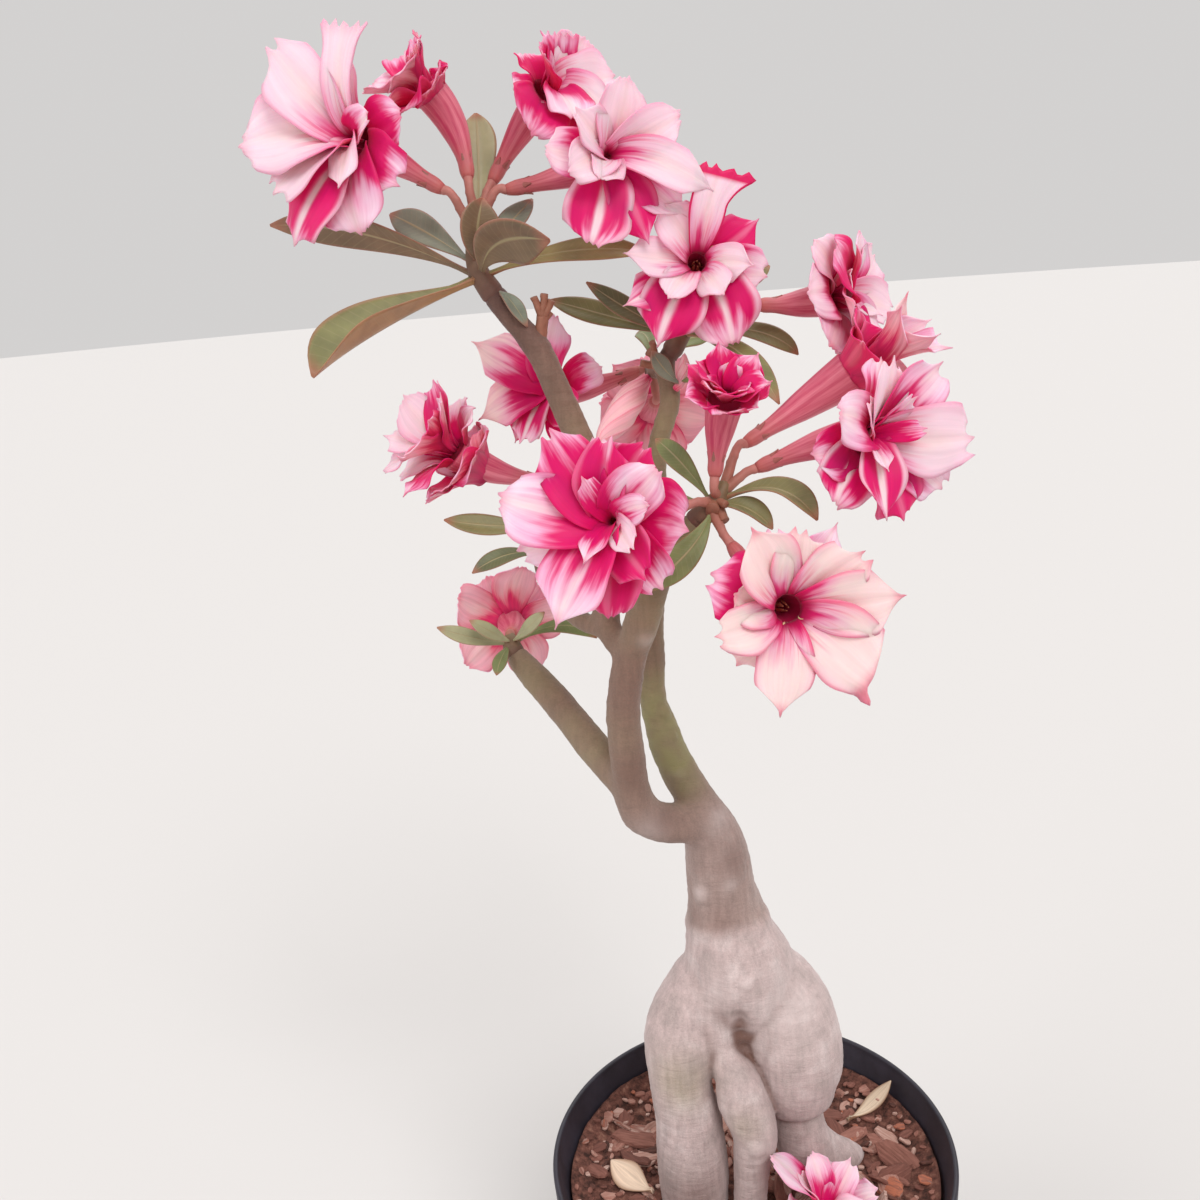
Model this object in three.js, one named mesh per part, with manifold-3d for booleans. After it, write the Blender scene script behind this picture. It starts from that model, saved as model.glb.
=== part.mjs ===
// A desert rose (Adenium obesum) in flower, in a black plastic nursery pot.
// Millimetres, +Z up, origin at the centre of the pot's underside. The plant is seen from -Y.
//
// The wood is one solid: swollen caudex with its three root legs, trunk and branches.
// Each branch ends in a leafy tip of its own, which carries leaves and flower stalks.
// Each double bloom is one solid: calyx, corolla tube and two whorls of petals.
import * as THREE from 'three';
import { mergeVertices } from 'three/addons/utils/BufferGeometryUtils.js';
import Module from 'manifold-3d';

const wasm = await Module();
wasm.setup();

// ---------------------------------------------------------------- driving dimensions

const SEAT_GAP = 0.35; // between two pieces that touch
const FINEST_FACE = 0.1; // faces smaller than this are merged where solids join
const POT_HEIGHT = 165;
const POT_RIM_RADIUS = 100;
const POT_WALL_TOP_RADIUS = 95; // outside of the wall, just under the rolled rim
const POT_BASE_RADIUS = 72;
const POT_WALL = 2.2;
const POT_FLOOR = 3;
const RIM_HEIGHT = 15;
const RIM_THICKNESS = 2.6;
const POT_SIDES = 32;
const DRAIN_HOLES = 4;
const DRAIN_RADIUS = 5;
const DRAIN_CIRCLE = 52;

const SOIL_TOP = 147;
const CHIP_COUNT = 24;
const CHIP_LENGTH = 24;
const CHIP_WIDTH = 14;
const CHIP_THICKNESS = 4;
const CHIP_MARGIN = 20; // from the pot's wall to the centre of the outermost chips
const CHIP_RISE = 0.8; // of a chip's middle over the soil
const CHIP_SLOPE = 30; // degrees, from the steepest one way to the steepest the other way
const CHIP_SEED = 11;
const GOLDEN_ANGLE = 2.39996;

const PETAL_THICKNESS = 0.8;
const PETAL_TILT = 0.3; // one edge over the next petal, the other under the one before
const PETAL_SINK = 2; // how far a petal's root stands below the mouth of its tube
const INNER_ROOT = { rootRadius: 5, sink: PETAL_SINK, rise: 84 };
const OUTER_ROOT = { rootRadius: 6.4, sink: PETAL_SINK, rise: 76 };
const LEAF_THICKNESS = 0.9;
const TUBE_SIDES = 7;
const MOUTH_RADIUS = 7.4;
const THROAT_RADIUS = 4;
const THROAT_DEPTH = 9;
const CALYX_RADIUS = 3.3; // the ring of sepals, closed around the foot of the tube
const STALK_RADIUS = 2;
const STALK_STRAIGHT = 5; // the last of a stalk runs in line with its bloom's tube

// ---------------------------------------------------------------- vectors and solids

const point = ([x, y, z]) => new THREE.Vector3(x, y, z);
const along = (start, direction, distance) => start.clone().addScaledVector(direction, distance);
const radians = (degrees) => THREE.MathUtils.degToRad(degrees);

function randomFrom(seed) {
  let state = seed;
  return () => {
    state = (state * 1664525 + 1013904223) % 4294967296;
    return state / 4294967296;
  };
}

function geometryOf(points, faces) {
  const geometry = new THREE.BufferGeometry();
  const coordinates = points.flatMap((p) => [p.x, p.y, p.z]);
  geometry.setAttribute('position', new THREE.Float32BufferAttribute(coordinates, 3));
  geometry.setIndex(faces.flat());
  return geometry;
}

function solidOf(geometry) {
  const bare = geometry.clone();
  bare.deleteAttribute('normal');
  bare.deleteAttribute('uv');
  const merged = mergeVertices(bare, 1e-5);
  return new wasm.Manifold(new wasm.Mesh({
    numProp: 3,
    vertProperties: new Float32Array(merged.attributes.position.array),
    triVerts: new Uint32Array(merged.index.array),
  }));
}

// The largest body of a union; a scrap that a crossing has cut loose is dropped.
function fuse(solids) {
  const bodies = wasm.Manifold.union(solids).simplify(FINEST_FACE).decompose();
  return bodies.reduce((largest, body) => (body.volume() > largest.volume() ? body : largest));
}

function meshOf(name, solid, colour, roughness) {
  const { vertProperties, triVerts } = solid.getMesh();
  const geometry = new THREE.BufferGeometry();
  geometry.setAttribute('position', new THREE.Float32BufferAttribute(vertProperties, 3));
  geometry.setIndex(new THREE.Uint32BufferAttribute(triVerts, 1));
  geometry.computeVertexNormals();
  const mesh = new THREE.Mesh(
    geometry,
    new THREE.MeshStandardMaterial({ color: colour, roughness, metalness: 0 }),
  );
  mesh.name = name;
  return mesh;
}

// A closed solid through rings of equal count, with a point closing each end.
function loft(rings, firstPoint, lastPoint) {
  const sides = rings[0].length;
  const points = [firstPoint, ...rings.flat(), lastPoint];
  const at = (ring, side) => 1 + ring * sides + (side % sides);
  const last = points.length - 1;
  const faces = [];
  for (let side = 0; side < sides; side += 1) {
    faces.push([0, at(0, side + 1), at(0, side)]);
    faces.push([last, at(rings.length - 1, side), at(rings.length - 1, side + 1)]);
    for (let ring = 0; ring < rings.length - 1; ring += 1) {
      const [a, b] = [at(ring, side), at(ring, side + 1)];
      const [c, d] = [at(ring + 1, side + 1), at(ring + 1, side)];
      faces.push([a, b, c], [a, c, d]);
    }
  }
  return solidOf(geometryOf(points, faces));
}

function ringAt(centre, across, tangent, radius, sides) {
  const other = new THREE.Vector3().crossVectors(tangent, across).normalize();
  return Array.from({ length: sides }, (_, side) => {
    const angle = (2 * Math.PI * side) / sides;
    return centre.clone()
      .addScaledVector(across, radius * Math.cos(angle))
      .addScaledVector(other, radius * Math.sin(angle));
  });
}

// Tangents along a row of points: straight on at both ends, halfway between two legs elsewhere.
function tangentsOf(points) {
  const legs = points.slice(1).map((p, i) => p.clone().sub(points[i]).normalize());
  return points.map((_, i) => {
    const before = legs[Math.max(i - 1, 0)];
    const after = legs[Math.min(i, legs.length - 1)];
    return before.clone().add(after).normalize();
  });
}

// The first direction across a path, turned along it without twist.
function acrossAll(tangents) {
  const alongX = Math.abs(tangents[0].x) > 0.8;
  let across = alongX ? new THREE.Vector3(0, 1, 0) : new THREE.Vector3(1, 0, 0);
  return tangents.map((tangent) => {
    across = across.clone().addScaledVector(tangent, -across.dot(tangent)).normalize();
    return across;
  });
}

// A round limb through stations [x, y, z, radius]; grow thickens it and lengthens both ends.
function limb(stations, { sides = 8, grow = 0, startDome = 0, endDome = 0 } = {}) {
  const centres = stations.map(point);
  const tangents = tangentsOf(centres);
  const last = centres.length - 1;
  const firstCentre = along(centres[0], tangents[0], -grow);
  const lastCentre = along(centres[last], tangents[last], grow);
  centres[0] = firstCentre;
  centres[last] = lastCentre;
  const across = acrossAll(tangents);
  const rings = centres.map((centre, i) => (
    ringAt(centre, across[i], tangents[i], stations[i][3] + grow, sides)));
  return loft(
    rings,
    along(firstCentre, tangents[0], -startDome),
    along(lastCentre, tangents[last], endDome),
  );
}

// ---------------------------------------------------------------- blades: petals and leaves

// A thin blade: rows of [left edge, middle, right edge] and a tip point, thickened to both
// sides and split into triangles alike on both faces.
function blade(rows, tip, thickness) {
  const grid = [...rows, [tip, tip, tip]];
  const normals = rows.map((row, i) => {
    const next = grid[i + 1];
    const back = grid[Math.max(i - 1, 0)];
    return row.map((_, j) => {
      const downward = next[j].clone().sub(i === 0 ? row[j] : back[j]);
      const sideways = row[Math.min(j + 1, 2)].clone().sub(row[Math.max(j - 1, 0)]);
      return sideways.cross(downward).normalize();
    });
  });
  const tipNormal = normals[normals.length - 1][1];
  const flat = rows.flat();
  const flatNormals = normals.flat();
  const face = (sign) => [
    ...flat.map((p, i) => along(p, flatNormals[i], sign * thickness / 2)),
    along(tip, tipNormal, sign * thickness / 2),
  ];
  const count = flat.length + 1;
  const cells = [];
  for (let row = 0; row < rows.length - 1; row += 1) {
    for (let column = 0; column < 2; column += 1) {
      const a = row * 3 + column;
      cells.push([a, a + 1, a + 4], [a, a + 4, a + 3]);
    }
  }
  const lastRow = (rows.length - 1) * 3;
  cells.push([lastRow, lastRow + 1, count - 1], [lastRow + 1, lastRow + 2, count - 1]);
  const outline = [0, 1, 2];
  for (let row = 1; row < rows.length; row += 1) {
    outline.push(row * 3 + 2);
  }
  outline.push(count - 1);
  for (let row = rows.length - 1; row > 0; row -= 1) {
    outline.push(row * 3);
  }
  const faces = [
    ...cells,
    ...cells.map(([a, b, c]) => [a + count, c + count, b + count]),
  ];
  outline.forEach((a, i) => {
    const b = outline[(i + 1) % outline.length];
    faces.push([a, a + count, b + count], [a, b + count, b]);
  });
  return solidOf(geometryOf([...face(1), ...face(-1)], faces));
}

// Outline of a petal: share of its full half width, at a share of its length.
const petalWidth = (s) => (
  s < 0.6 ? 0.24 + 0.76 * Math.sin((Math.PI / 2) * (s / 0.6)) : (1 - ((s - 0.6) / 0.4) ** 2.2) ** 0.9);
const leafWidth = (s) => Math.max(0.14, Math.sin(Math.PI * s ** 1.6) ** 0.8);

// A bloom's own directions: face looks out of its throat, right and up lie across it.
function bloomFrame({ base, throat, face }) {
  const out = point(face).normalize();
  const right = new THREE.Vector3(0, 0, 1).cross(out).normalize();
  const up = new THREE.Vector3().crossVectors(out, right);
  const centre = point(throat);
  const start = point(base);
  const bend = along(centre, out, -start.distanceTo(centre) / 2);
  return { centre, start, bend, out, right, up };
}

// One petal: [turn, reach, width, lift]. Turn is counted anticlockwise from the bloom's right,
// reach is from the throat's centre to the tip, and lift is how far the blade rises from the
// bloom's plane. It stands up out of the tube's mouth and then bends outward. All petals of a
// bloom are tilted the same way round, so that each lies over the next like a pinwheel.
function petal(frame, [turn, reach, width, lift], { rootRadius, sink, rise, index }) {
  const angle = radians(turn);
  const out = frame.right.clone().multiplyScalar(Math.cos(angle))
    .addScaledVector(frame.up, Math.sin(angle));
  const side = new THREE.Vector3().crossVectors(frame.out, out);
  const liftAt = (s) => radians(lift + (rise - lift) * (1 - s) ** 2.8);
  const steps = 40;
  let mean = 0;
  for (let i = 0; i < steps; i += 1) {
    mean += Math.cos(liftAt((i + 0.5) / steps)) / steps;
  }
  const length = (reach - rootRadius) / mean;
  const root = along(along(frame.centre, out, rootRadius), frame.out, -sink);
  const midline = (s) => {
    const place = root.clone();
    for (let i = 0; i < steps; i += 1) {
      const lambda = liftAt((s * (i + 0.5)) / steps);
      place.addScaledVector(out, (length * s * Math.cos(lambda)) / steps);
      place.addScaledVector(frame.out, (length * s * Math.sin(lambda)) / steps);
    }
    return place;
  };
  const rows = [0, 0.38, 0.76].map((s) => {
    const middle = midline(s);
    const lambda = liftAt(s);
    const normal = frame.out.clone().multiplyScalar(Math.cos(lambda))
      .addScaledVector(out, -Math.sin(lambda));
    const half = (width / 2) * petalWidth(s);
    const curl = (1 - s) ** 2 / rootRadius + 0.5 / width;
    const tilt = s > 0 ? PETAL_TILT * (1 - 0.5 * s) : 0;
    const edge = (sign) => {
      const wave = 0.06 * width * s * Math.sin(7 * s + 2.3 * index + (sign > 0 ? 0 : 2));
      return middle.clone()
        .addScaledVector(side, (sign * Math.sin(curl * half)) / curl)
        .addScaledVector(normal, (1 - Math.cos(curl * half)) / curl + wave + sign * tilt * half);
    };
    return [edge(1), middle, edge(-1)];
  });
  return blade(rows, midline(1), PETAL_THICKNESS);
}

// Corolla tube: a narrow foot in its calyx, a bell-shaped upper half, and an open throat.
function corollaTube(frame) {
  const path = new THREE.QuadraticBezierCurve3(frame.start, frame.bend, frame.centre);
  const profile = [
    [0, 2.2], [0.07, CALYX_RADIUS], [0.22, 2.7], [0.55, 5.3], [1, MOUTH_RADIUS],
  ];
  const tangents = profile.map(([t]) => path.getTangent(t));
  const across = acrossAll(tangents);
  const rings = profile.map(([t, radius], i) => (
    ringAt(path.getPoint(t), across[i], tangents[i], radius, TUBE_SIDES)));
  const lastAcross = across[across.length - 1];
  rings.push(ringAt(frame.centre, lastAcross, frame.out, THROAT_RADIUS, TUBE_SIDES));
  return loft(rings, frame.start, along(frame.centre, frame.out, -THROAT_DEPTH));
}

function bloom(flower) {
  const frame = bloomFrame(flower);
  const whorl = (petals, options) => petals.map((numbers, index) => (
    petal(frame, numbers, { ...options, index })));
  return fuse([
    corollaTube(frame),
    ...whorl(flower.inner, INNER_ROOT),
    ...whorl(flower.outer, OUTER_ROOT),
  ]);
}

// A leaf: base, a point halfway, tip, width, and the direction that its upper side faces.
function leaf([base, halfway, tip, width, facing = [0, -0.8, 0.6], fold = 0.3]) {
  const control = point(halfway).multiplyScalar(2)
    .addScaledVector(point(base), -0.5)
    .addScaledVector(point(tip), -0.5);
  const path = new THREE.QuadraticBezierCurve3(point(base), control, point(tip));
  const rows = [0, 0.4, 0.8].map((s) => {
    const middle = path.getPoint(s);
    const side = point(facing).cross(path.getTangent(s)).normalize();
    const normal = path.getTangent(s).cross(side).normalize();
    const half = (width / 2) * leafWidth(s);
    const edge = (sign) => middle.clone()
      .addScaledVector(side, sign * half)
      .addScaledVector(normal, fold * half);
    return [edge(1), middle, edge(-1)];
  });
  return blade(rows, path.getPoint(1), LEAF_THICKNESS);
}

// ---------------------------------------------------------------- wood

const TRUNK = [
  [3, 6, 196, 8], [1, 9, 222, 14], [0, 11, 243, 22], [0, 10, 256, 26.5], [-2, 9, 267, 26],
  [-4, 9, 277, 23.2], [-6, 10, 288, 20.2],
  [-8, 10, 304, 16.2], [-9, 9, 321, 15.1], [-10, 8, 337, 14], [-13, 8, 349, 12.1],
];
const LEFT_LEG = [
  [-15, 9, 258, 17.6], [-26, 5, 242, 18.6], [-31, 0, 228, 18.6], [-33, -5, 208, 15.2],
  [-30, -8, 187, 16.3], [-29, -11, 166, 17.4], [-29, -13, 144, 16], [-30, -17, 109, 14.2],
  [-32, -19, 66, 10.3],
];
const MIDDLE_LEG = [
  [-11, -3, 230, 5.8], [-6, -11, 219, 9.6], [-3, -15, 205, 12], [2, -18, 190, 11.1],
  [0, -20, 171, 8.7], [-2, -21, 146, 7.8], [-5, -20, 107, 7],
];
const RIGHT_BULGE = [
  [8, 13, 254, 22.5], [20, 11, 233, 24.5], [23, 8, 215, 24], [23, 6, 200, 21.5],
  [24, 4, 187, 16.5],
];
const RIGHT_ROOT = [
  [23, 6, 188, 12], [24, 3, 174, 13], [28, 3, 162, 13.5], [38, 8, 152, 11.5],
  [50, 15, 144, 8], [55, 23, 132, 5.2], [59, 28, 111, 4.3],
];
const FRONT_BRANCH = [
  [-12, 6, 343, 12.1], [-25, 0, 346, 9.2], [-36, -5, 350, 9.1], [-43, -9, 359, 9],
  [-45, -12, 374, 8], [-46, -15, 397, 7.5], [-45, -16, 415, 7.4], [-40, -16, 435, 7.3],
  [-32, -18, 457, 7.1], [-27, -17, 470, 6.7], [-20, -17, 482, 5.8], [-10, -16, 491, 4.9],
];
const BACK_BRANCH = [
  [-11, 10, 338, 11], [-14, 12, 351, 11.7], [-20, 16, 362, 11.3], [-26, 19, 374, 10.8],
  [-30, 22, 387, 8.9], [-34, 23, 398, 6.6], [-34, 26, 420, 5.6], [-31, 28, 460, 5],
  [-28, 31, 487, 4.5], [-26, 34, 513, 4.5], [-19, 37, 535, 4.4], [-21, 38, 550, 4.9],
  [-17, 38.5, 556, 4.6],
];
const LOW_LEFT_BRANCH = [
  [-45, -10, 368, 8.1], [-55, -2, 377, 7.7], [-67, 8, 388, 7.4], [-78, 18, 399, 7],
  [-89, 26, 409, 6.6], [-98, 33, 417, 5.7], [-100, 34.5, 420, 4.9],
];
const TOP_LEFT_BRANCH = [
  [-40, -15, 434, 6], [-49, -8, 441, 5.6], [-51, -1, 451, 5.7], [-54, 7, 471, 5.3],
  [-56, 16, 496, 5.7], [-58, 21, 518, 6.1], [-67, 23, 543, 5.8], [-73, 23, 560, 5.6],
  [-80, 23, 571, 5.2], [-91, 23, 586.5, 5.1],
];
const LEFT_BACK_BRANCH = [
  [-52, -5, 443, 4.8], [-61, 3, 444, 4.4], [-74, 18, 450, 4.1], [-81, 32, 457, 4.2],
];
const BACK_TWIG = [
  [-21, 38, 549, 4], [-26, 52, 546, 3.2], [-28, 66, 545.5, 2.9],
];

const IN_SOIL = [LEFT_LEG, MIDDLE_LEG, RIGHT_ROOT];
const LEG_SIDES = 10;

function wood() {
  return fuse([
    limb(TRUNK, { sides: 11 }),
    limb(LEFT_LEG, { sides: LEG_SIDES, startDome: 5 }),
    limb(MIDDLE_LEG, { sides: LEG_SIDES, startDome: 2 }),
    limb(RIGHT_BULGE, { sides: 11, startDome: 6, endDome: 5 }),
    limb(RIGHT_ROOT, { sides: LEG_SIDES }),
    limb(FRONT_BRANCH),
    limb(BACK_BRANCH),
    ...[LOW_LEFT_BRANCH, TOP_LEFT_BRANCH, LEFT_BACK_BRANCH].map((branch) => limb(branch, { sides: 7 })),
    limb(BACK_TWIG, { sides: 6 }),
  ]);
}

// ---------------------------------------------------------------- blooms

// Evenly spaced petals, for a bloom at the back of the plant.
function evenWhorl(count, firstTurn, reach, width, lift) {
  return Array.from({ length: count }, (_, i) => (
    [firstTurn + (360 * i) / count, reach + ((i * 5) % 3), width, lift]));
}

const BLOOMS = {
  bloom_top_left: {
    base: [-108, 24, 630], throat: [-138, 8, 658], face: [-0.33, -0.91, 0.27],
    inner: [[142, 42, 27, 8], [79, 34, 15, 14], [-176, 43, 30, 6], [-137, 39, 20, 4], [-77, 26, 13, 20]],
    outer: [[-111, 52, 20, -4], [-74, 45, 26, -6], [-41, 34, 20, -2]],
  },
  bloom_top_left_side: {
    base: [-98, 30, 634], throat: [-113, 36, 671], face: [-0.65, -0.58, 0.49],
    inner: [[132, 27, 20, 32], [-165, 24, 16, 38], [-100, 22, 16, 42], [3, 16, 14, 50], [60, 18, 14, 46]],
    outer: [[172, 30, 18, 8], [-129, 27, 18, 10], [-60, 20, 16, 20]],
  },
  bloom_top_middle: {
    base: [-82, 28, 628], throat: [-37, 13, 637], face: [0.4, -0.9, 0.2],
    inner: [[75, 26, 19, 18], [21, 29, 17, 14], [-29, 41, 16, 6], [-158, 23, 17, 24], [138, 21, 16, 26]],
    outer: [[-112, 38, 25, -4], [-66, 37, 22, -4], [170, 26, 18, -4]],
  },
  bloom_top_middle_side: {
    base: [-89, 36, 632], throat: [-61, 40, 667], face: [0.66, -0.59, 0.47],
    inner: [[52, 19, 20, 26], [-12, 23, 18, 22], [-58, 28, 18, 16], [150, 14, 15, 44]],
    outer: [[-133, 38, 22, 4], [-95, 31, 18, 0], [100, 17, 17, 6], [10, 22, 18, -4]],
  },
  bloom_centre: {
    base: [-4, 40, 575], throat: [-4, 21, 593], face: [0.05, -0.97, 0.24],
    inner: [
      [68, 37, 18, 28], [122, 24, 18, 22], [175, 29, 15, 16], [-128, 20, 14, 34],
      [-60, 19, 14, 34], [-16, 22, 14, 26],
    ],
    outer: [[-130, 37, 28, -2], [-72, 38, 24, -4], [8, 30, 22, 2]],
  },
  bloom_right_upper: {
    base: [21, 34, 573], throat: [56, 36, 574], face: [0.87, -0.46, 0.2],
    inner: [[150, 28, 18, 22], [85, 25, 17, 35], [20, 22, 17, 48], [-50, 21, 17, 50], [-115, 24, 18, 32]],
    outer: [[176, 32, 20, -6], [-144, 31, 20, -2], [-60, 26, 16, 12], [60, 25, 16, 12]],
  },
  bloom_right_tulip: {
    base: [12, -4, 520], throat: [60, 9, 546], face: [0.79, -0.29, 0.53],
    inner: [[0, 13, 15, 66], [72, 14, 15, 62], [144, 17, 15, 57], [-144, 16, 15, 58], [-72, 14, 15, 63]],
    outer: [[108, 20, 16, 36], [160, 25, 16, 26], [-110, 17, 15, 42]],
  },
  bloom_right_lower: {
    base: [16, -12, 511], throat: [59, -27, 524], face: [0.59, -0.8, 0.13],
    inner: [[160, 28, 18, 18], [-104, 31, 17, 10], [4, 39, 30, 8], [52, 26, 16, 22], [117, 16, 13, 34]],
    outer: [[-155, 30, 26, -4], [-54, 40, 25, -2], [82, 27, 16, 0]],
  },
  bloom_half_open: {
    base: [-1, -20, 510], throat: [5, -24, 543], face: [0.21, -0.57, 0.79],
    inner: [[92, 19, 13, 44], [41, 19, 13, 40], [-25, 16, 12, 42], [164, 15, 13, 45], [-120, 17, 13, 40]],
    outer: [[4, 17, 12, 22], [130, 17, 12, 26], [-110, 17, 13, 22]],
  },
  bloom_front: {
    base: [-13, -25, 500], throat: [-41, -49, 501], face: [-0.23, -0.93, 0.3],
    inner: [
      [169, 40, 24, 12], [-113, 43, 25, 6], [37, 28, 17, 24], [122, 38, 20, 14],
      [-48, 29, 18, 16], [10, 20, 9, 42],
    ],
    outer: [[-164, 39, 20, -4], [-93, 36, 27, -4], [-7, 30, 28, -2], [87, 32, 23, -4]],
  },
  bloom_low_right: {
    base: [4, -28, 484], throat: [24, -61, 466], face: [0.22, -0.96, 0.18],
    inner: [
      [108, 34, 19, 12], [48, 28, 18, 10], [0, 40, 26, 8], [-53, 46, 23, 6],
      [-101, 40, 19, 6], [-175, 33, 19, 8],
    ],
    outer: [[80, 30, 16, -4], [-137, 27, 16, -6], [150, 32, 22, -8]],
  },
  bloom_left: {
    base: [-81, 58, 498], throat: [-123, 49, 518], face: [-0.62, -0.67, 0.4],
    inner: [[119, 27, 17, 24], [176, 34, 18, 16], [47, 31, 14, 14], [-20, 20, 15, 34], [-112, 28, 18, 22]],
    outer: [[-138, 34, 24, -2], [148, 30, 16, -4], [82, 26, 15, 0]],
  },
  bloom_back_left: {
    base: [-34, 75, 545], throat: [-74, 58, 541], face: [-0.36, -0.89, 0.29],
    inner: [[75, 31, 18, 14], [151, 38, 20, 10], [-152, 33, 20, 10], [-100, 28, 17, 16], [-39, 27, 17, 14]],
    outer: [[112, 31, 18, -4], [178, 34, 18, -8], [-68, 29, 18, -8]],
  },
  bloom_low_left: {
    base: [-103, 44, 427], throat: [-108, 70, 424], face: [-0.38, 0.92, 0.06],
    inner: evenWhorl(5, 0, 29, 20, 10),
    outer: evenWhorl(3, 36, 30, 23, -12),
  },
  bloom_back: {
    base: [-27, 70, 531], throat: [-30, 94, 524], face: [-0.1, 0.99, -0.14],
    inner: evenWhorl(5, 15, 27, 18, 14),
    outer: evenWhorl(3, 51, 29, 22, -8),
  },
};

// ---------------------------------------------------------------- leafy tips

// Each tip goes on from the cut end of its branch: a soft stem, stalks to its blooms, leaves.
const LEAFY_TIPS = {
  leafy_tip_top_left: {
    branch: TOP_LEFT_BRANCH,
    stem: [[-97, 23.5, 598, 4.3], [-97, 26, 611, 3.4], [-95, 29, 619, 2.4]],
    stalks: [
      [[-97, 26, 611], 'bloom_top_left'], [[-96, 28, 616], 'bloom_top_left_side'],
      [[-95, 29, 617], 'bloom_top_middle_side'], [[-96, 27, 612], 'bloom_top_middle'],
    ],
    leaves: [
      [[-97, 23, 594], [-146, 40, 615], [-193, 48, 623], 15, [0.2, -0.9, -0.3]],
      [[-97, 22, 593], [-132, -2, 585], [-158, -26, 561], 20, [0.2, -0.6, 0.8], 0.5],
      [[-95, 22, 594], [-84, 6, 606], [-66, -7, 603], 14, [-0.2, -0.7, -0.7]],
      [[-97, 23, 600], [-94, 14, 611], [-93, 17, 624], 15, [0.2, -1, 0.2]],
      [[-95, 25, 603], [-84, 31, 613], [-73, 41, 622], 9],
      [[-94, 23, 594], [-58, 17, 600], [-23, 14, 597], 10],
      [[-98, 25, 599], [-119, 39, 613], [-137, 48, 621], 11],
      [[-97, 28, 612], [-103, 47, 641], [-99, 54, 657], 10, [0, -1, 0.5]],
    ],
  },
  leafy_tip_top_middle: {
    branch: BACK_BRANCH,
    stem: [[-12, 39.5, 563, 3.9], [-8, 40, 568, 3]],
    stalks: [[[-9, 40, 567], 'bloom_centre'], [[-10, 40, 565], 'bloom_right_upper']],
    leaves: [
      [[-13, 38, 562], [-32, 36, 573], [-52, 34, 588], 10],
      [[-14, 40, 562], [-44, 46, 572], [-71, 52, 581], 12],
      [[-11, 37, 563], [11, 22, 555], [27, 5, 534], 11],
      [[-10, 40, 564], [20, 45, 561], [38, 42, 550], 10],
      [[-11, 41, 564], [13, 54, 580], [28, 61, 588], 10],
    ],
  },
  leafy_tip_right: {
    branch: FRONT_BRANCH,
    stem: [[-4, -17, 496, 4.4], [0, -17, 501, 3.6], [3, -15, 506, 2.6]],
    stalks: [
      [[0, -17, 501], 'bloom_half_open'], [[2, -15, 503], 'bloom_right_tulip'],
      [[2, -16, 503], 'bloom_right_lower'], [[-2, -17, 499], 'bloom_front'],
      [[-3, -18, 496], 'bloom_low_right'],
    ],
    leaves: [
      [[1, -17, 500], [23, -24, 504], [38, -34, 493], 10],
      [[-2, -18, 497], [10, -22, 497], [21, -24, 488], 10],
      [[-3, -19, 497], [-13, -28, 482], [-33, -34, 468], 13, [0.3, -0.8, 0.5]],
      [[-3, -16, 499], [-14, -5, 513], [-25, 4, 523], 10],
      [[-5, -15, 498], [-26, -4, 505], [-41, 2, 518], 8],
    ],
  },
  leafy_tip_left: {
    branch: LEFT_BACK_BRANCH,
    stem: [[-84, 43, 467, 4.3], [-83, 52, 479, 3.9], [-81, 56, 489, 3]],
    stalks: [[[-82, 55, 486], 'bloom_left']],
    leaves: [
      [[-84, 42, 466], [-101, 44, 466], [-117, 37, 460], 9],
      [[-83, 51, 478], [-105, 46, 480], [-128, 39, 486], 11],
      [[-82, 53, 481], [-66, 68, 488], [-54, 80, 484], 10],
    ],
  },
  leafy_tip_back: {
    branch: BACK_TWIG,
    stem: [[-28, 73, 547, 2.6]],
    stalks: [[[-28, 71, 546.5], 'bloom_back_left'], [[-28, 72, 546], 'bloom_back']],
    leaves: [
      [[-28, 71, 547], [-14, 82, 556], [0, 90, 556], 10],
      [[-28, 72, 547], [-30, 88, 558], [-36, 103, 560], 9],
    ],
  },
  leafy_tip_low_left: {
    branch: LOW_LEFT_BRANCH,
    stem: [[-102, 37, 425, 4], [-103, 39.5, 427, 2.8]],
    stalks: [[[-102.5, 38, 426], 'bloom_low_left']],
    leaves: [
      [[-102, 36, 424], [-118, 30, 430], [-134, 25, 438], 8],
      [[-101, 37, 424], [-78, 37, 432], [-60, 31, 427], 8],
      [[-102, 36, 425], [-108, 27, 433], [-118, 24, 441], 7],
      [[-101, 36, 425], [-92, 29, 434], [-83, 28, 442], 7],
      [[-102, 35.5, 424], [-105, 26, 421], [-107, 19, 415], 7],
    ],
  },
};

function tubeStart(flower) {
  const frame = bloomFrame(flower);
  return { start: frame.start, direction: frame.bend.clone().sub(frame.start).normalize() };
}

function stalk(from, flower) {
  const { start, direction } = tubeStart(flower);
  const stations = [
    [...from, STALK_RADIUS],
    [...along(start, direction, -STALK_STRAIGHT).toArray(), STALK_RADIUS],
    [...along(start, direction, -SEAT_GAP).toArray(), STALK_RADIUS + 0.2],
  ];
  return limb(stations, { sides: 5 });
}

function leafyTip({ branch, stem, stalks, leaves }) {
  const ends = branch.slice(-2).map(point);
  const direction = ends[1].clone().sub(ends[0]).normalize();
  const radius = branch[branch.length - 1][3];
  const start = [SEAT_GAP, 2].map((step) => [...along(ends[1], direction, step).toArray(), radius]);
  return fuse([
    limb([...start, ...stem], { sides: 6 }),
    ...stalks.map(([from, name]) => stalk(from, BLOOMS[name])),
    ...leaves.map(leaf),
  ]);
}

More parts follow.
